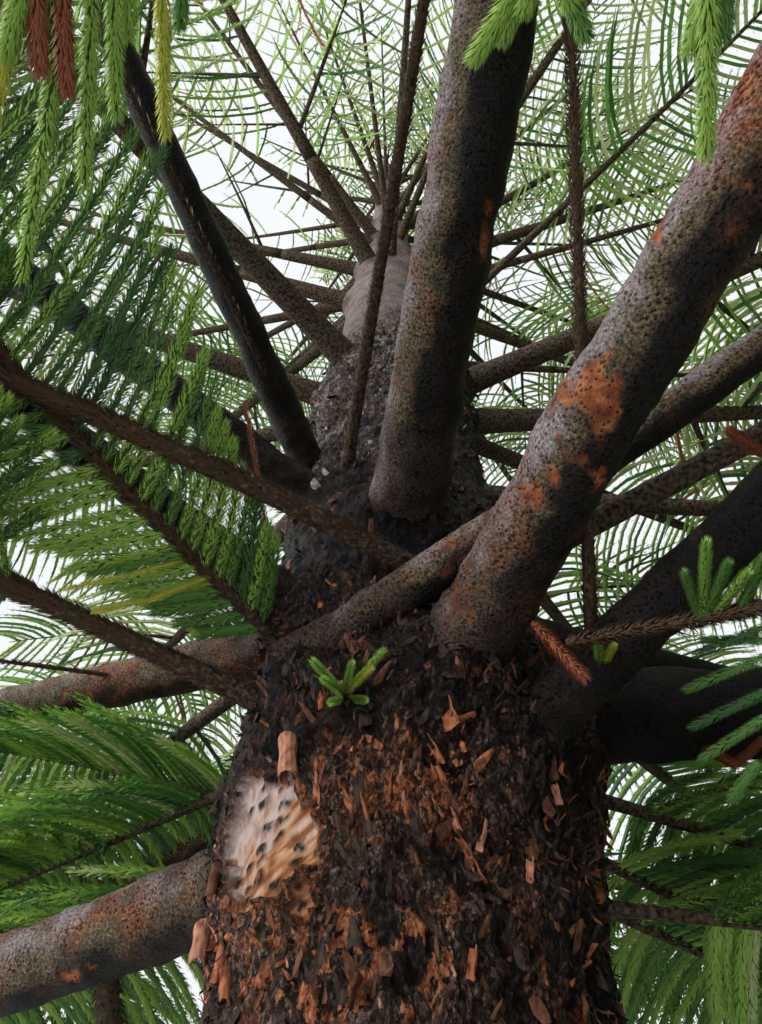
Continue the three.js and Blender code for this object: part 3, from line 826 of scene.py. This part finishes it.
red_brown = ramp_node(tree, mottle, [
    (0.34, (0.055, 0.018, 0.01)), (0.5, (0.24, 0.07, 0.026)), (0.66, (0.44, 0.17, 0.065)),
])
skin = mixed(tree, mask_node(tree, "worn"), skin, red_brown)
crusted = ramp_node(tree, grain, [(0.38, (0.01, 0.008, 0.007)), (0.66, (0.09, 0.056, 0.042))])
skin = mixed(tree, mask_node(tree, "crust"), skin, crusted)
place = added(tree, "TexCoord", {}).outputs["Object"]
scars = added(tree, "TexVoronoi", {"Vector": place, "Scale": 1 / SCAR_SPACING}).outputs["Distance"]
scar = added(tree, "MapRange", {
    "Value": maths(tree, "SUBTRACT", scars, mottle), "From Min": -0.2, "From Max": -0.38,
}).outputs[0]
darkened = ramp_node(tree, scar, [(0.3, 1), (0.85, (0.46, 0.36, 0.3))])
skin = dyed(tree, skin, darkened)
# Painted shade: the damp, shaded limbs darkened near the trunk.
skin = mixed(tree, mask_node(tree, "soaked_and_shaded"), skin, dyed(tree, skin, (0.22, 0.2, 0.22)))
gloss = added(tree, "MapRange", {"Value": painted_lit_side, "To Min": 0.42, "To Max": 0.66})
relief = maths(tree, "MULTIPLY_ADD", scar, 1.5, grain)
bump = added(tree, "Bump", {"Distance": SCAR_RELIEF, "Height": relief})
fed(tree, shader, {"Base Color": skin, "Roughness": gloss.outputs[0], "Normal": bump.outputs["Normal"]})

for tier, limbs in BOUGHS.items():
    for number, one in enumerate(limbs, 1):
        worn_place = WORN_PLACES.get((tier, number), (-1.0, 0.05))
        damp_and_shade = DAMP_SHADED_LIMBS.get((tier, number), 0.0)
        piece = wrapped_skin(
            f"limb_{tier}_{number}", THICK_FACETS if one.thick > THICK_BOUGH else THIN_FACETS,
            round(one.bare / BOUGH_ROW),
            lambda turn, share: bough_skin(one, worn_place, damp_and_shade, turn, share),
        )
        piece.data.materials.append(bough_finish)
        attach(piece, "root")
        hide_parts(f"bough_{tier}_{number}")


# The fronds: a limb's stem runs on with side twigs in two ranks, and both carry close rows of
# sprays, long shoots like rope, clothed in awl-shaped needles. Sprays are made as joined arrays,
# near the viewer needle by needle and far off as toothed cones.
TWIG_SPACING = 0.72
FROND_SPREAD = 0.46
WIDEST_FROND = 0.9
TWIG_ANGLES = (58, 34)
TWIG_RISE = 0.1
MOST_TRIANGLES = 185000
HANGING_PLUMP = 0.0115
BARE_NEEDLES = 0.006
STEM_STATIONS = 24
BARE_STATIONS = 12
TWIG_STATIONS = 9
SMALLER_SEEDS = 500
TWIG_SEEDS = 900
NEEDLE_COLOURS = {
    "needles_deep": (0.07, 0.175, 0.055),
    "needles_green": (0.135, 0.29, 0.066),
    "needles_fresh": (0.31, 0.5, 0.095),
    # The backlit pale stands in for light shining through the needles high in the crown: painted
    # backlight.
    "needles_backlit_pale": (0.48, 0.56, 0.24),
    "needles_dead": (0.36, 0.12, 0.06),
    "needles_yellow": (0.52, 0.54, 0.085),
    "needles_brown": (0.085, 0.05, 0.03),
    "needles_core": (0.06, 0.115, 0.038),
}
DEEP, GREEN, FRESH, BACKLIT_PALE, DEAD, YELLOW, BROWN, CORE = range(8)

needle_finishes = []
for name, base in NEEDLE_COLOURS.items():
    finish, tree, shader = finish_named(name, 0.5)
    shader.inputs["Base Color"].default_value = (*base, 1)
    needle_finishes.append(finish)

twig_finish, tree, shader = finish_named("twig_bark", 0.8, 0.12)
scaly_tones = (0.36, (0.015, 0.01, 0.007), 0.64, (0.125, 0.088, 0.062))
scaly = grained(tree, 110, 4, 0.5, relief=0.003, tones=scaly_tones)
fed(tree, shader, {"Base Color": scaly["Colour"], "Normal": scaly["Normal"]})


def seeded_random(seed):
    """The same run of random shares each time for a limb's number."""
    state = seed * 7919 + 17
    while True:
        state = (state * 16807) % 2147483647
        yield state / 2147483647


def spray_pattern(rings, per_ring, joints, whole_needles, girth):
    """One spray: a slim core that comes to a point, and rings of needles that lean forward out of
    it. A point is told by its share of the spray's length, its place across and how far forward it
    leans, both in half widths. Each triangle is told as core or needle."""
    points = []
    stations = np.linspace(0, 1, joints + 1)
    thickness = np.interp(stations, [0, 0.08, 0.9, 1], [0.8, 1, 0.8, 0.05]) * girth
    for station, thick in zip(stations, thickness):
        for side in range(3):
            angle = 2 * pi * side / 3
            points.append((station, thick * cos(angle), thick * sin(angle), 0))
    triangles = tube_walls(joints + 1, 3).tolist()
    needle_faces = [not whole_needles] * len(triangles)
    shares = seeded_random(rings * 31 + per_ring)
    for ring in range(rings):
        station = (ring + 0.4) / rings * 0.975
        full = float(np.interp(station, [0, 0.08, 0.85, 1], [0.75, 1, 1, 0.6]))
        for needle in range(per_ring):
            angle = 2 * pi * (needle / per_ring + next(shares) * 0.2) + ring * 2.4
            outer = full * (0.9 + 0.2 * next(shares))
            first = len(points)
            if whole_needles:
                spread, middle = 0.17, 0.62 * outer
                points.append((station, 0.7 * girth * cos(angle), 0.7 * girth * sin(angle), 0))
                for turn in (angle - spread, angle + spread):
                    points.append((station, middle * cos(turn), middle * sin(turn), 0.22))
                triangles += [(first, first + 1, first + 2), (first + 1, first + 3, first + 2)]
                needle_faces += [True, True]
            else:
                for turn in (angle - 0.4, angle + 0.4):
                    points.append((station, girth * cos(turn), girth * sin(turn), 0))
                triangles.append((first, first + 1, first + 2))
                needle_faces.append(True)
            points.append((station, outer * cos(angle), outer * sin(angle), 0.85))
    return np.array(points), np.array(triangles), np.array(needle_faces)


def cone_pattern(cones):
    """A far-off spray: cones set one in another, which give it a toothed edge from every side."""
    points = []
    for ring in range(cones * 2):
        cone, outer = divmod(ring, 2)
        station = (cone + (0.95 if outer else 0.0)) / cones
        thick = (0.95 if outer else 0.35) * (1 - 0.5 * (station > 0.85))
        for side in range(3):
            angle = 2 * pi * side / 3 + cone * 0.5
            points.append((station, thick * cos(angle), thick * sin(angle), 0))
    triangles = tube_walls(cones * 2, 3)
    return np.array(points), triangles, np.ones(len(triangles), bool)


SPRAY_PATTERNS = [
    (1.2, spray_pattern(120, 7, 8, True, 0.42)),
    (1.8, spray_pattern(104, 6, 6, True, 0.4)),
    (2.9, spray_pattern(44, 4, 5, False, 0.5)),
    (6.5, spray_pattern(13, 3, 4, False, 0.6)),
    (99.0, cone_pattern(3)),
]


# A habit of sprays. The shades are the shares of deep, green, fresh, pale and dead ones. The bank
# tips a frond over sideways, and the curl bends the sprays forward along their stem.
Habit = namedtuple(
    "Habit",
    "droop lift longest spacing plump shades unruly angles growth taper bank shorter_side curl",
    defaults=(1.0, (64, 27), (0.6, 0.13), 0.55, 0.0, 1.0, 0.0),
)


def spray_row(line, start, end, longest, habit, chance, thinned=1.0):
    """Sprays in two ranks along part of a stem, shortest at its end. A row of the answer holds a
    spray's root, heading, length, bend, half width, finish and the finish of its tip."""
    count = max(2, int((end - start) / habit.spacing / thinned))
    share = np.repeat((np.arange(count) + 0.5) / count, 2)
    hand = np.tile([-1.0, 1.0], count)
    size = len(share)
    unruly = habit.unruly
    distance = start + (end - start) * (share + chance.uniform(-0.2, 0.2, size) / count)
    root, along, beside, above = line(distance)
    angle = np.radians(np.interp(share, [0, 1], habit.angles) + chance.uniform(-7, 7, size) * unruly)
    tilt = habit.lift - habit.bank * hand + chance.uniform(-0.17, 0.17, size) * unruly
    heading = along * np.cos(angle)[:, None] + beside * (hand * np.sin(angle))[:, None]
    heading = unit(heading + above * tilt[:, None])
    swell = np.interp(share, [0, habit.growth[1]], [habit.growth[0], 1])
    swell = swell * (1 - habit.taper * share**2.2)
    length = longest * swell * chance.uniform(1 - 0.2 * unruly, 1 + 0.18 * unruly, size)
    length = length * np.where(hand > 0, habit.shorter_side, 1.0)
    slack = chance.uniform(1 - 0.4 * unruly, 1 + 0.4 * unruly, size)[:, None]
    bend = (along * habit.curl - np.array([0, 0, habit.droop])) * slack
    width = habit.plump * chance.uniform(0.85, 1.15, size)
    tint = chance.choice(len(habit.shades), size, p=habit.shades)
    tip = np.where((tint < FRESH) & (chance.random(size) < 0.6), FRESH, tint)
    return np.column_stack([root, heading, length, bend, width, tint, tip])


def needled_stem(line, start, end, width, tint, joint=0.3):
    """Needles that still stand on a young stem itself, as sprays laid end to end along it."""
    distance = np.arange(start, end - 0.02, joint * 0.85)
    root, along, beside, above = line(distance)
    reach = np.minimum(joint, end + 0.02 - distance)
    size = len(distance)
    plain = np.zeros((size, 3))
    return np.column_stack([root, along, reach, plain, np.full(size, width), np.full((size, 2), tint)])


def spray_arrays(sprays, pattern):
    """The points, triangles and finishes of many sprays that share one pattern."""
    shape, faces, needle_faces = pattern
    root, heading = sprays[:, 0:3], sprays[:, 3:6]
    length, width = sprays[:, 6][:, None, None], sprays[:, 10][:, None, None]
    beside = unit(np.cross(heading, [0, 0, 1]))
    share = shape[:, 0][None, :, None]
    sunk = sprays[:, None, 7:10]
    middle = root[:, None] + (heading[:, None] + sunk * share) * share * length
    along = unit(heading[:, None] + 2 * sunk * share)
    above = np.cross(np.broadcast_to(beside[:, None], along.shape), along)
    across = beside[:, None] * shape[:, 1][None, :, None] + above * shape[:, 2][None, :, None]
    points = middle + (across + along * shape[:, 3][None, :, None]) * width
    triangles = faces[None] + (np.arange(len(sprays)) * len(shape))[:, None, None]
    tint = sprays[:, 11:12].astype(int)
    at_tip = shape[faces[:, 0], 0] > 0.84
    kinds = np.where(at_tip[None], sprays[:, 12:13].astype(int), tint)
    kinds = np.where(~needle_faces[None] & (tint < DEAD), CORE, kinds)
    return points.reshape(-1, 3), triangles.reshape(-1, 3), kinds.ravel()


def tube_arrays(path, thick, sides):
    """A round tapering stem along a path of points."""
    along = unit(np.gradient(path, axis=0))
    beside = unit(np.cross(along, [0, 0, 1]))
    above = np.cross(beside, along)
    angle = np.arange(sides) * 2 * pi / sides
    ring = np.cos(angle)[None, :, None] * beside[:, None] + np.sin(angle)[None, :, None] * above[:, None]
    points = path[:, None] + ring * (np.asarray(thick) / 2)[:, None, None]
    caps = [(0, side + 1, side) for side in range(1, sides - 1)]
    last = (len(path) - 1) * sides
    caps += [(last, last + side, last + side + 1) for side in range(1, sides - 1)]
    return points.reshape(-1, 3), np.concatenate([tube_walls(len(path), sides), caps])


def twig_line(root, heading, length, sag):
    """The line of a side twig: points, with the directions along, beside and above it."""
    def line(distance):
        away = np.asarray(distance, float)[:, None]
        sunk = np.array([0, 0, -1.0]) * sag
        middle = root + heading * away + sunk * away * away / length
        along = unit(heading + 2 * sunk * away / length)
        beside = unit(np.cross(along, [0, 0, 1]))
        return middle, along, beside, np.cross(beside, along)
    return line


LOW_SHADES = (0.27, 0.43, 0.26, 0.04, 0.0)
# The high sprays carry a large share of backlit pale: painted backlight.
HIGH_SHADES = (0.08, 0.24, 0.27, 0.405, 0.005)
BRIGHT_SHADES = (0.12, 0.38, 0.47, 0.03, 0.0)
# droop, lift, longest spray, spacing, half width and shades of each tier's sprays
FROND_HABITS = {
    "low": Habit(0.4, 0.02, 0.54, 0.038, 0.018, LOW_SHADES, 0.6, (72, 34), curl=0.18),
    "second": Habit(0.34, 0.05, 0.54, 0.038, 0.0165, LOW_SHADES, 0.5, (72, 34), curl=0.18),
    "shoots": Habit(0.1, 0.02, 0.4, 0.03, 0.015, LOW_SHADES, 0.4),
    "third": Habit(0.5, 0.18, 0.6, 0.04, 0.015, HIGH_SHADES, 0.6, (78, 40), curl=0.3),
    "fourth": Habit(0.46, 0.24, 0.56, 0.047, 0.014, HIGH_SHADES, 0.6, (78, 40), curl=0.3),
    "fifth": Habit(0.42, 0.28, 0.52, 0.052, 0.013, HIGH_SHADES, 0.6, (78, 40), curl=0.3),
    "sixth": Habit(0.36, 0.32, 0.46, 0.052, 0.0105, HIGH_SHADES, 0.5, (80, 38), curl=0.36),
    "seventh": Habit(0.1, 0.36, 0.36, 0.04, 0.014, HIGH_SHADES),
    "top": Habit(0.04, 0.36, 0.22, 0.034, 0.013, HIGH_SHADES),
}
CURTAIN = Habit(0.3, 0.1, 0.36, 0.025, 0.0165, BRIGHT_SHADES, 0.6, (76, 40), (0.6, 0.1), 0.4)
# The second of the young shoots carries long sprays right from its foot, close as a comb.
COMB = Habit(
    0.05, 0.0, 0.5, 0.034, 0.0185, BRIGHT_SHADES, 0.3, (54, 104), (0.36, 0.5), 0.1, 0.22, 0.72, 0.08,
)
COMB_START = 0.1
# High up on one side of the crown the sprays stand further apart, and the sky shows between them.
SPARSE_ABOVE = 3.9
SPARSE_BEARINGS = (-95, 12)
SPARSER = 1.9
# Openings in the high crown: each by its direction from the viewer and its half angle in degrees.
OPENINGS = [
    ((-0.148, 0.177, 0.973), 4.6), ((-0.141, 0.278, 0.95), 3.4), ((0.166, 0.253, 0.953), 2.8),
    ((0.143, 0.372, 0.917), 2.6), ((0.3, 0.535, 0.789), 3.0),
]
OPENING_LEFT = 0.18
VIEW_HALF_ANGLE = 48
FAR_OFF = 90.0
SMALLER_LIMBS = {
    "low": limbs_of([
        (110, 2.54, -5, 0.034, 0.25, 2.3), (122, 2.36, -5, 0.03, 0.25, 2.2),
        (123, 2.48, -4, 0.03, 0.25, 2.3, 124), (98, 2.24, -3, 0.026, 0.25, 2.0),
        (-122, 2.64, 2, 0.032, 0.3, 2.3), (-128, 2.5, -2, 0.028, 0.3, 2.2, -130),
    ]),
    "second": limbs_of([
        (-36, 2.601, 10.2, 0.055, 0.95, 2.0, 65), (60, 3.33, 7, 0.06, 0.8, 2.6, 100),
        (140, 3.2, 6, 0.07, 0.7, 2.9), (-160, 3.3, 6, 0.07, 0.7, 2.9), (-135, 3.15, 6, 0.06, 0.7, 2.8),
    ]),
    "third": limbs_of([
        (120, 4.15, 10, 0.07, 0.7, 2.6), (175, 4.1, 10, 0.08, 0.7, 2.7, 176),
        (-106, 4.18, 10, 0.066, 0.7, 2.6), (-170, 4.7, 11, 0.05, 0.6, 2.3, -165),
        (60, 4.65, 12, 0.036, 0.8, 2.1, 50), (110, 4.72, 12, 0.04, 0.6, 2.3, 100),
    ]),
    "fourth": limbs_of([
        (-128, 5.73, 11, 0.07, 0.55, 2.2, -131), (114, 5.7, 11, 0.06, 0.55, 2.2, 118),
        (150, 5.45, 11, 0.066, 0.55, 2.2), (-165, 5.45, 11, 0.066, 0.55, 2.2),
        (78, 5.52, 11, 0.05, 0.55, 2.2, 80), (4, 5.6, 12, 0.05, 0.6, 2.1, 6),
        (-100, 5.5, 11, 0.056, 0.55, 2.2, -102),
    ]),
    "fifth": limbs_of([
        (66, 6.11, 13, 0.063, 0.45, 2.0), (115, 6.32, 13, 0.064, 0.45, 1.95),
        (-42, 6.171, 13, 0.055, 0.45, 1.95, -55), (-120, 6.05, 13, 0.06, 0.45, 2.0),
        (-155, 6.15, 13, 0.06, 0.45, 2.0), (30, 6.2, 13, 0.045, 0.45, 1.9, 26),
        (140, 6.1, 13, 0.06, 0.45, 2.0),
    ]),
    "sixth": limbs_of([
        (-1, 6.9, 15, 0.045, 0.4, 1.65, -6), (106, 6.82, 15, 0.041, 0.4, 1.65, 98),
        (166, 6.78, 15, 0.05, 0.4, 1.65), (-100, 6.83, 15, 0.05, 0.4, 1.65),
        (-170, 6.85, 15, 0.045, 0.4, 1.65, -172), (30, 6.75, 15, 0.045, 0.4, 1.65, 28),
        (-28, 7.4, 17, 0.05, 0.3, 1.5), (44, 7.4, 17, 0.046, 0.3, 1.5), (116, 7.42, 17, 0.046, 0.3, 1.5),
        (-172, 7.4, 17, 0.046, 0.3, 1.5), (-100, 7.38, 17, 0.046, 0.3, 1.5),
    ]),
    "seventh": limbs_of([
        (38, 7.9, 21, 0.04, 0.24, 1.3), (155, 7.88, 21, 0.04, 0.24, 1.3),
        (-85, 7.88, 21, 0.04, 0.24, 1.3),
        *((turn, 8.45, 25, 0.036, 0.18, 1.1) for turn in (0, 72, 144, 216, 288)),
    ]),
    "top": limbs_of([
        (95, 9.02, 33, 0.03, 0.11, 0.78), (-25, 9.06, 33, 0.03, 0.11, 0.78),
        (-145, 9.05, 33, 0.03, 0.11, 0.78),
        *((turn, 9.52, 42, 0.022, 0.07, 0.5) for turn in (15, 87, 159, 231, 303)),
        *((turn, 9.9, 52, 0.016, 0.04, 0.28) for turn in (50, 140, 230, 320)),
    ]),
}
# Twigs that stand on the bare part of a limb: the limb, how far along it, where the twig heads,
# its rise, length and thickness, and its sprays: none, a habit, or single ones by their place on
# the twig, their tip in millimetres and their finish.
EXTRA_TWIGS = {
    "low": [
        (5, 0.2, 0, 35, 1.12, 0.024, None),
        (0, 0.42, -177, -18, 0.5, 0.06, None),
        (1, 0.85, -54, -4, 0.45, 0.012, CURTAIN), (1, 0.25, -99, 21, 0.9, 0.018, CURTAIN),
        (6, 1.15, -89, -47, 0.47, 0.01, [
            (0.46, (311, -1119, 2313), FRESH), (0.45, (273, -1211, 2294), FRESH),
            (0.43, (303, -1219, 2304), GREEN),
        ]),
    ],
    "second": [
        (0, 0.5, -64, -11, 0.5, 0.012, None), (3, 0.1, -19, 5, 1.1, 0.022, None),
        (4, 1.4, -158, -65, 0.85, 0.012, [
            (0.84, (80, -1210, 2295), FRESH), (0.83, (104, -1225, 2293), FRESH),
            (0.84, (120, -1246, 2281), FRESH), (0.8, (190, -1222, 2338), GREEN),
            (0.82, (169, -1250, 2323), FRESH),
        ]),
        (4, 1.35, -116, -50, 0.96, 0.012, [
            (0.9, (-386, -1022, 2303), FRESH), (0.88, (-325, -1097, 2379), FRESH),
            (0.95, (-384, -1153, 2308), YELLOW), (0.95, (-314, -1213, 2310), DEAD),
            (0.92, (-300, -1194, 2325), DEAD), (0.86, (-282, -1163, 2403), FRESH),
            (0.8, (-249, -1136, 2462), YELLOW), (0.84, (-257, -1236, 2414), FRESH),
            (0.95, (-335, -1227, 2292), FRESH), (0.76, (-217, -1242, 2476), GREEN),
            (0.93, (-341, -1145, 2359), GREEN),
        ]),
    ],
    "shoots": [],
}
# Limbs whose own needles still stand: the limb, from, to, half width and finish.
NEEDLED_LIMBS = {
    "shoots": [
        (0, 0.05, 1.0, 0.028, BROWN), (1, 0.02, 0.9, 0.023, BROWN),
        (2, 0.02, 0.6, 0.03, BROWN), (3, 0.1, 1.12, 0.024, BROWN),
    ],
}
# Lone shoots that break from the bark: a fresh sprout, dead red-brown ones and yellow-green ones,
# each by its root, tip, finish and half width, in millimetres.
LONE_SHOOTS = [
    (-92, -311, 2399, -26, -388, 2420, FRESH, 9), (-92, -311, 2399, -46, -375, 2393, YELLOW, 8),
    (-94, -311, 2399, -140, -394, 2394, FRESH, 9), (-94, -311, 2399, -124, -376, 2372, FRESH, 8),
    (-94, -311, 2396, -77, -387, 2395, FRESH, 8), (-91, -306, 2394, -57, -340, 2358, FRESH, 8),
    (-94, -307, 2394, -113, -340, 2355, FRESH, 8), (219, -402, 2461, 276, -402, 2332, DEAD, 15),
    (-263, -180, 2794, -281, -398, 2873, DEAD, 10), (-281, -398, 2873, -301, -605, 2933, DEAD, 8),
    (556, -78, 2471, 581, -122, 2390, DEAD, 11), (581, -122, 2390, 609, -198, 2379, DEAD, 10),
    (558, -669, 2521, 493, -716, 2517, DEAD, 11), (-371, -306, 2738, -468, -339, 2623, YELLOW, 9),
    (-468, -339, 2623, -541, -382, 2542, YELLOW, 8), (-394, -331, 2774, -508, -372, 2659, YELLOW, 8),
    (-508, -372, 2659, -595, -414, 2566, YELLOW, 7), (257, -424, 2388, 386, -499, 2339, BROWN, 16),
    (386, -499, 2339, 492, -572, 2288, BROWN, 16), (419, -528, 2319, 390, -596, 2335, GREEN, 9),
    (422, -528, 2319, 411, -647, 2337, FRESH, 10), (426, -529, 2317, 438, -623, 2319, GREEN, 10),
    (434, -532, 2316, 459, -618, 2303, FRESH, 10), (463, -551, 2302, 475, -634, 2306, GREEN, 10),
    (571, -437, 2399, 474, -363, 2415, DEEP, 11), (575, -390, 2383, 468, -292, 2407, GREEN, 11),
    (578, -338, 2359, 476, -238, 2374, DEEP, 11), (581, -297, 2345, 495, -185, 2351, GREEN, 11),
    (577, -407, 2398, 491, -370, 2442, GREEN, 10), (579, -210, 2328, 547, -120, 2321, GREEN, 11),
    (318, -361, 2394, 306, -426, 2389, FRESH, 9), (321, -361, 2393, 328, -424, 2379, YELLOW, 8),
]


def lone_spray(root, tip, tint, width):
    """A single spray from its root, in metres, to its tip, in millimetres."""
    away = np.array(tip) / 1000 - root
    reach = np.linalg.norm(away)
    return [*root, *(away / reach), reach, 0.0, 0.0, 0.0, width, tint, tint]


def grow_frond(one, seed, habit, with_twigs):
    """The stems and sprays of one limb beyond its bare part."""
    shares = seeded_random(seed)
    chance = np.random.default_rng(seed)
    leafy = one.reach - one.bare
    longest = min(habit.longest, leafy * 0.4)
    on_sparse_side = SPARSE_BEARINGS[0] < one.bearing < SPARSE_BEARINGS[1]
    thinned = SPARSER if on_sparse_side and one.height > SPARSE_ABOVE else 1.0
    whole = np.linspace(one.bare - 0.004, one.reach, STEM_STATIONS)
    stems = [(limb_line(one, whole), limb_thickness(one, whole), 8)]
    if habit is COMB:
        start, longest, with_twigs = COMB_START, habit.longest, False
    else:
        start = one.bare + 0.02
    sprays = [spray_row(
        lambda distance: frames_along(one, distance), start, one.reach - 0.03, longest, habit, chance,
        thinned,
    )]
    pairs = int(np.clip(round(leafy / TWIG_SPACING), 2, 3)) if with_twigs else 0
    widest = min(WIDEST_FROND, leafy * FROND_SPREAD)
    for pair in range(pairs):
        for hand in (-1, 1):
            share = (pair + 0.3 + 0.16 * hand) / pairs
            distance = one.bare + leafy * share
            root, along, beside, above = (part[0] for part in frames_along(one, np.array([distance])))
            angle = np.radians(np.interp(share, [0, 1], TWIG_ANGLES) + (next(shares) - 0.5) * 12)
            heading = along * cos(angle) + beside * hand * sin(angle)
            heading = unit(heading + np.array([0, 0, TWIG_RISE + (next(shares) - 0.5) * 0.16]))
            length = widest * (1 - 0.28 * share) * (0.85 + 0.25 * next(shares))
            line = twig_line(root, heading, length, habit.droop * 0.4)
            steps = np.linspace(0, length, TWIG_STATIONS)
            thick = np.linspace(0.4, 0.08, TWIG_STATIONS) * limb_thickness(one, distance)
            stems.append((line(steps)[0], np.maximum(thick, 0.004), 6))
            sprays.append(spray_row(
                line, length * 0.14, length * 0.97, min(longest * 0.66, 0.36), habit, chance, thinned,
            ))
    return np.concatenate(sprays), stems


def grow_twig(one, distance, bearing, rise, length, thick, habit, seed):
    """The stem and sprays of a twig that stands on the bare part of a limb."""
    chance = np.random.default_rng(seed)
    turn, lift = radians(bearing), radians(rise)
    heading = np.array([sin(turn) * cos(lift), -cos(turn) * cos(lift), sin(lift)])
    line = twig_line(limb_line(one, distance), heading, length, 0.03)
    steps = np.linspace(0, length, BARE_STATIONS)
    stem = (line(steps)[0], thick * (1 - 0.6 * steps / length), 8)
    if habit is None:
        return needled_stem(line, 0.02, length, thick * 0.5 + BARE_NEEDLES, BROWN), stem
    if isinstance(habit, Habit):
        return spray_row(line, length * 0.06, length * 0.98, habit.longest, habit, chance), stem
    return np.array([
        lone_spray(line(np.array([place]))[0][0], tip, tint, HANGING_PLUMP) for place, tip, tint in habit
    ]), stem


def from_the_eye(sprays):
    """The way from the viewer's eye to the middle of each spray."""
    return sprays[:, 0:3] + sprays[:, 3:6] * sprays[:, 6:7] / 2 - np.array(EYE)


def beside_openings(sprays, seed):
    """The sprays of a high limb without nearly all of those that stand in the crown's openings."""
    towards = unit(from_the_eye(sprays))
    inside = np.zeros(len(sprays), bool)
    for direction, half_angle in OPENINGS:
        inside |= towards @ np.array(direction) > cos(radians(half_angle))
    return sprays[~inside | (np.random.default_rng(seed).random(len(sprays)) < OPENING_LEFT)]


def with_levels(sprays):
    """Splits sprays by how far off the viewer sees them. What is out of view counts as far."""
    middle = from_the_eye(sprays)
    away = np.linalg.norm(middle, axis=1)
    ahead = np.array([0, cos(radians(LOOK_UP)), sin(radians(LOOK_UP))])
    away = np.where(middle @ ahead > away * cos(radians(VIEW_HALF_ANGLE)), away, FAR_OFF)
    nearer = 0.0
    for limit, pattern in SPRAY_PATTERNS:
        chosen = sprays[(away >= nearer) & (away < limit)]
        nearer = limit
        if len(chosen):
            yield spray_arrays(chosen, pattern)


def joined_groups(name, parts, finishes, nodes_named, smooth):
    """Joins parts of points, triangles and finishes into pieces of a size that exports whole."""
    groups, size = [[]], 0
    for part in parts:
        if size + len(part[1]) > MOST_TRIANGLES:
            groups.append([])
            size = 0
        groups[-1].append(part)
        size += len(part[1])
    for index, group in enumerate(groups, 1):
        starts = np.cumsum([0] + [len(part[0]) for part in group[:-1]])
        piece = joined_piece(
            f"{name}_{index}", np.concatenate([part[0] for part in group]),
            np.concatenate([part[1] + start for part, start in zip(group, starts)]),
            np.concatenate([np.broadcast_to(part[2], len(part[1])) for part in group]), finishes, smooth,
        )
        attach(piece, "root")
        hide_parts(*nodes_named)


seed = 0
for tier, limbs in [*BOUGHS.items(), *CROWN.items(), ("shoots", SHOOTS)]:
    needle_parts, stem_parts = [], []
    smaller = SMALLER_LIMBS.get(tier, [])
    for number, one in enumerate([*limbs, *smaller]):
        main = number < len(limbs)
        seed += main
        habit = FROND_HABITS[tier] if main or tier != "low" else CURTAIN
        habit = COMB if tier == "shoots" and number == 1 else habit
        own_seed = seed if main else SMALLER_SEEDS + seed + number
        sprays, stems = grow_frond(one, own_seed, habit, main)
        if tier in CROWN:
            sprays = beside_openings(sprays, seed)
        if not (main and tier in BOUGHS):
            run = np.linspace(0, one.bare, BARE_STATIONS)
            flare = 1 + FOOT_FLARE * np.exp(-run / FLARE_REACH)
            stems.append((limb_line(one, run), limb_thickness(one, run) * flare, 14))
        needle_parts += with_levels(sprays)
        stem_parts += [(*tube_arrays(*stem), 0) for stem in stems]
    for index, (number, *twig) in enumerate(EXTRA_TWIGS.get(tier, [])):
        sprays, stem = grow_twig(limbs[number], *twig, TWIG_SEEDS + index)
        needle_parts += with_levels(sprays)
        stem_parts.append((*tube_arrays(*stem), 0))
    for number, start, end, width, tint in NEEDLED_LIMBS.get(tier, []):
        one = limbs[number]
        needle_parts += with_levels(needled_stem(lambda d: frames_along(one, d), start, end, width, tint))
    if tier == "shoots":
        needle_parts += with_levels(np.array([
            lone_spray(np.array(row[:3]) / 1000, row[3:6], row[6], row[7] / 1000) for row in LONE_SHOOTS
        ]))
        names = [f"shoot_{number}" for number in range(1, len(limbs) + 1)]
    else:
        names = [f"foliage_{tier}_{number}" for number in range(1, len(limbs) + 1)]
    joined_groups(f"needles_{tier}", needle_parts, needle_finishes, names, False)
    joined_groups(f"stems_{tier}", stem_parts, [twig_finish], names, True)
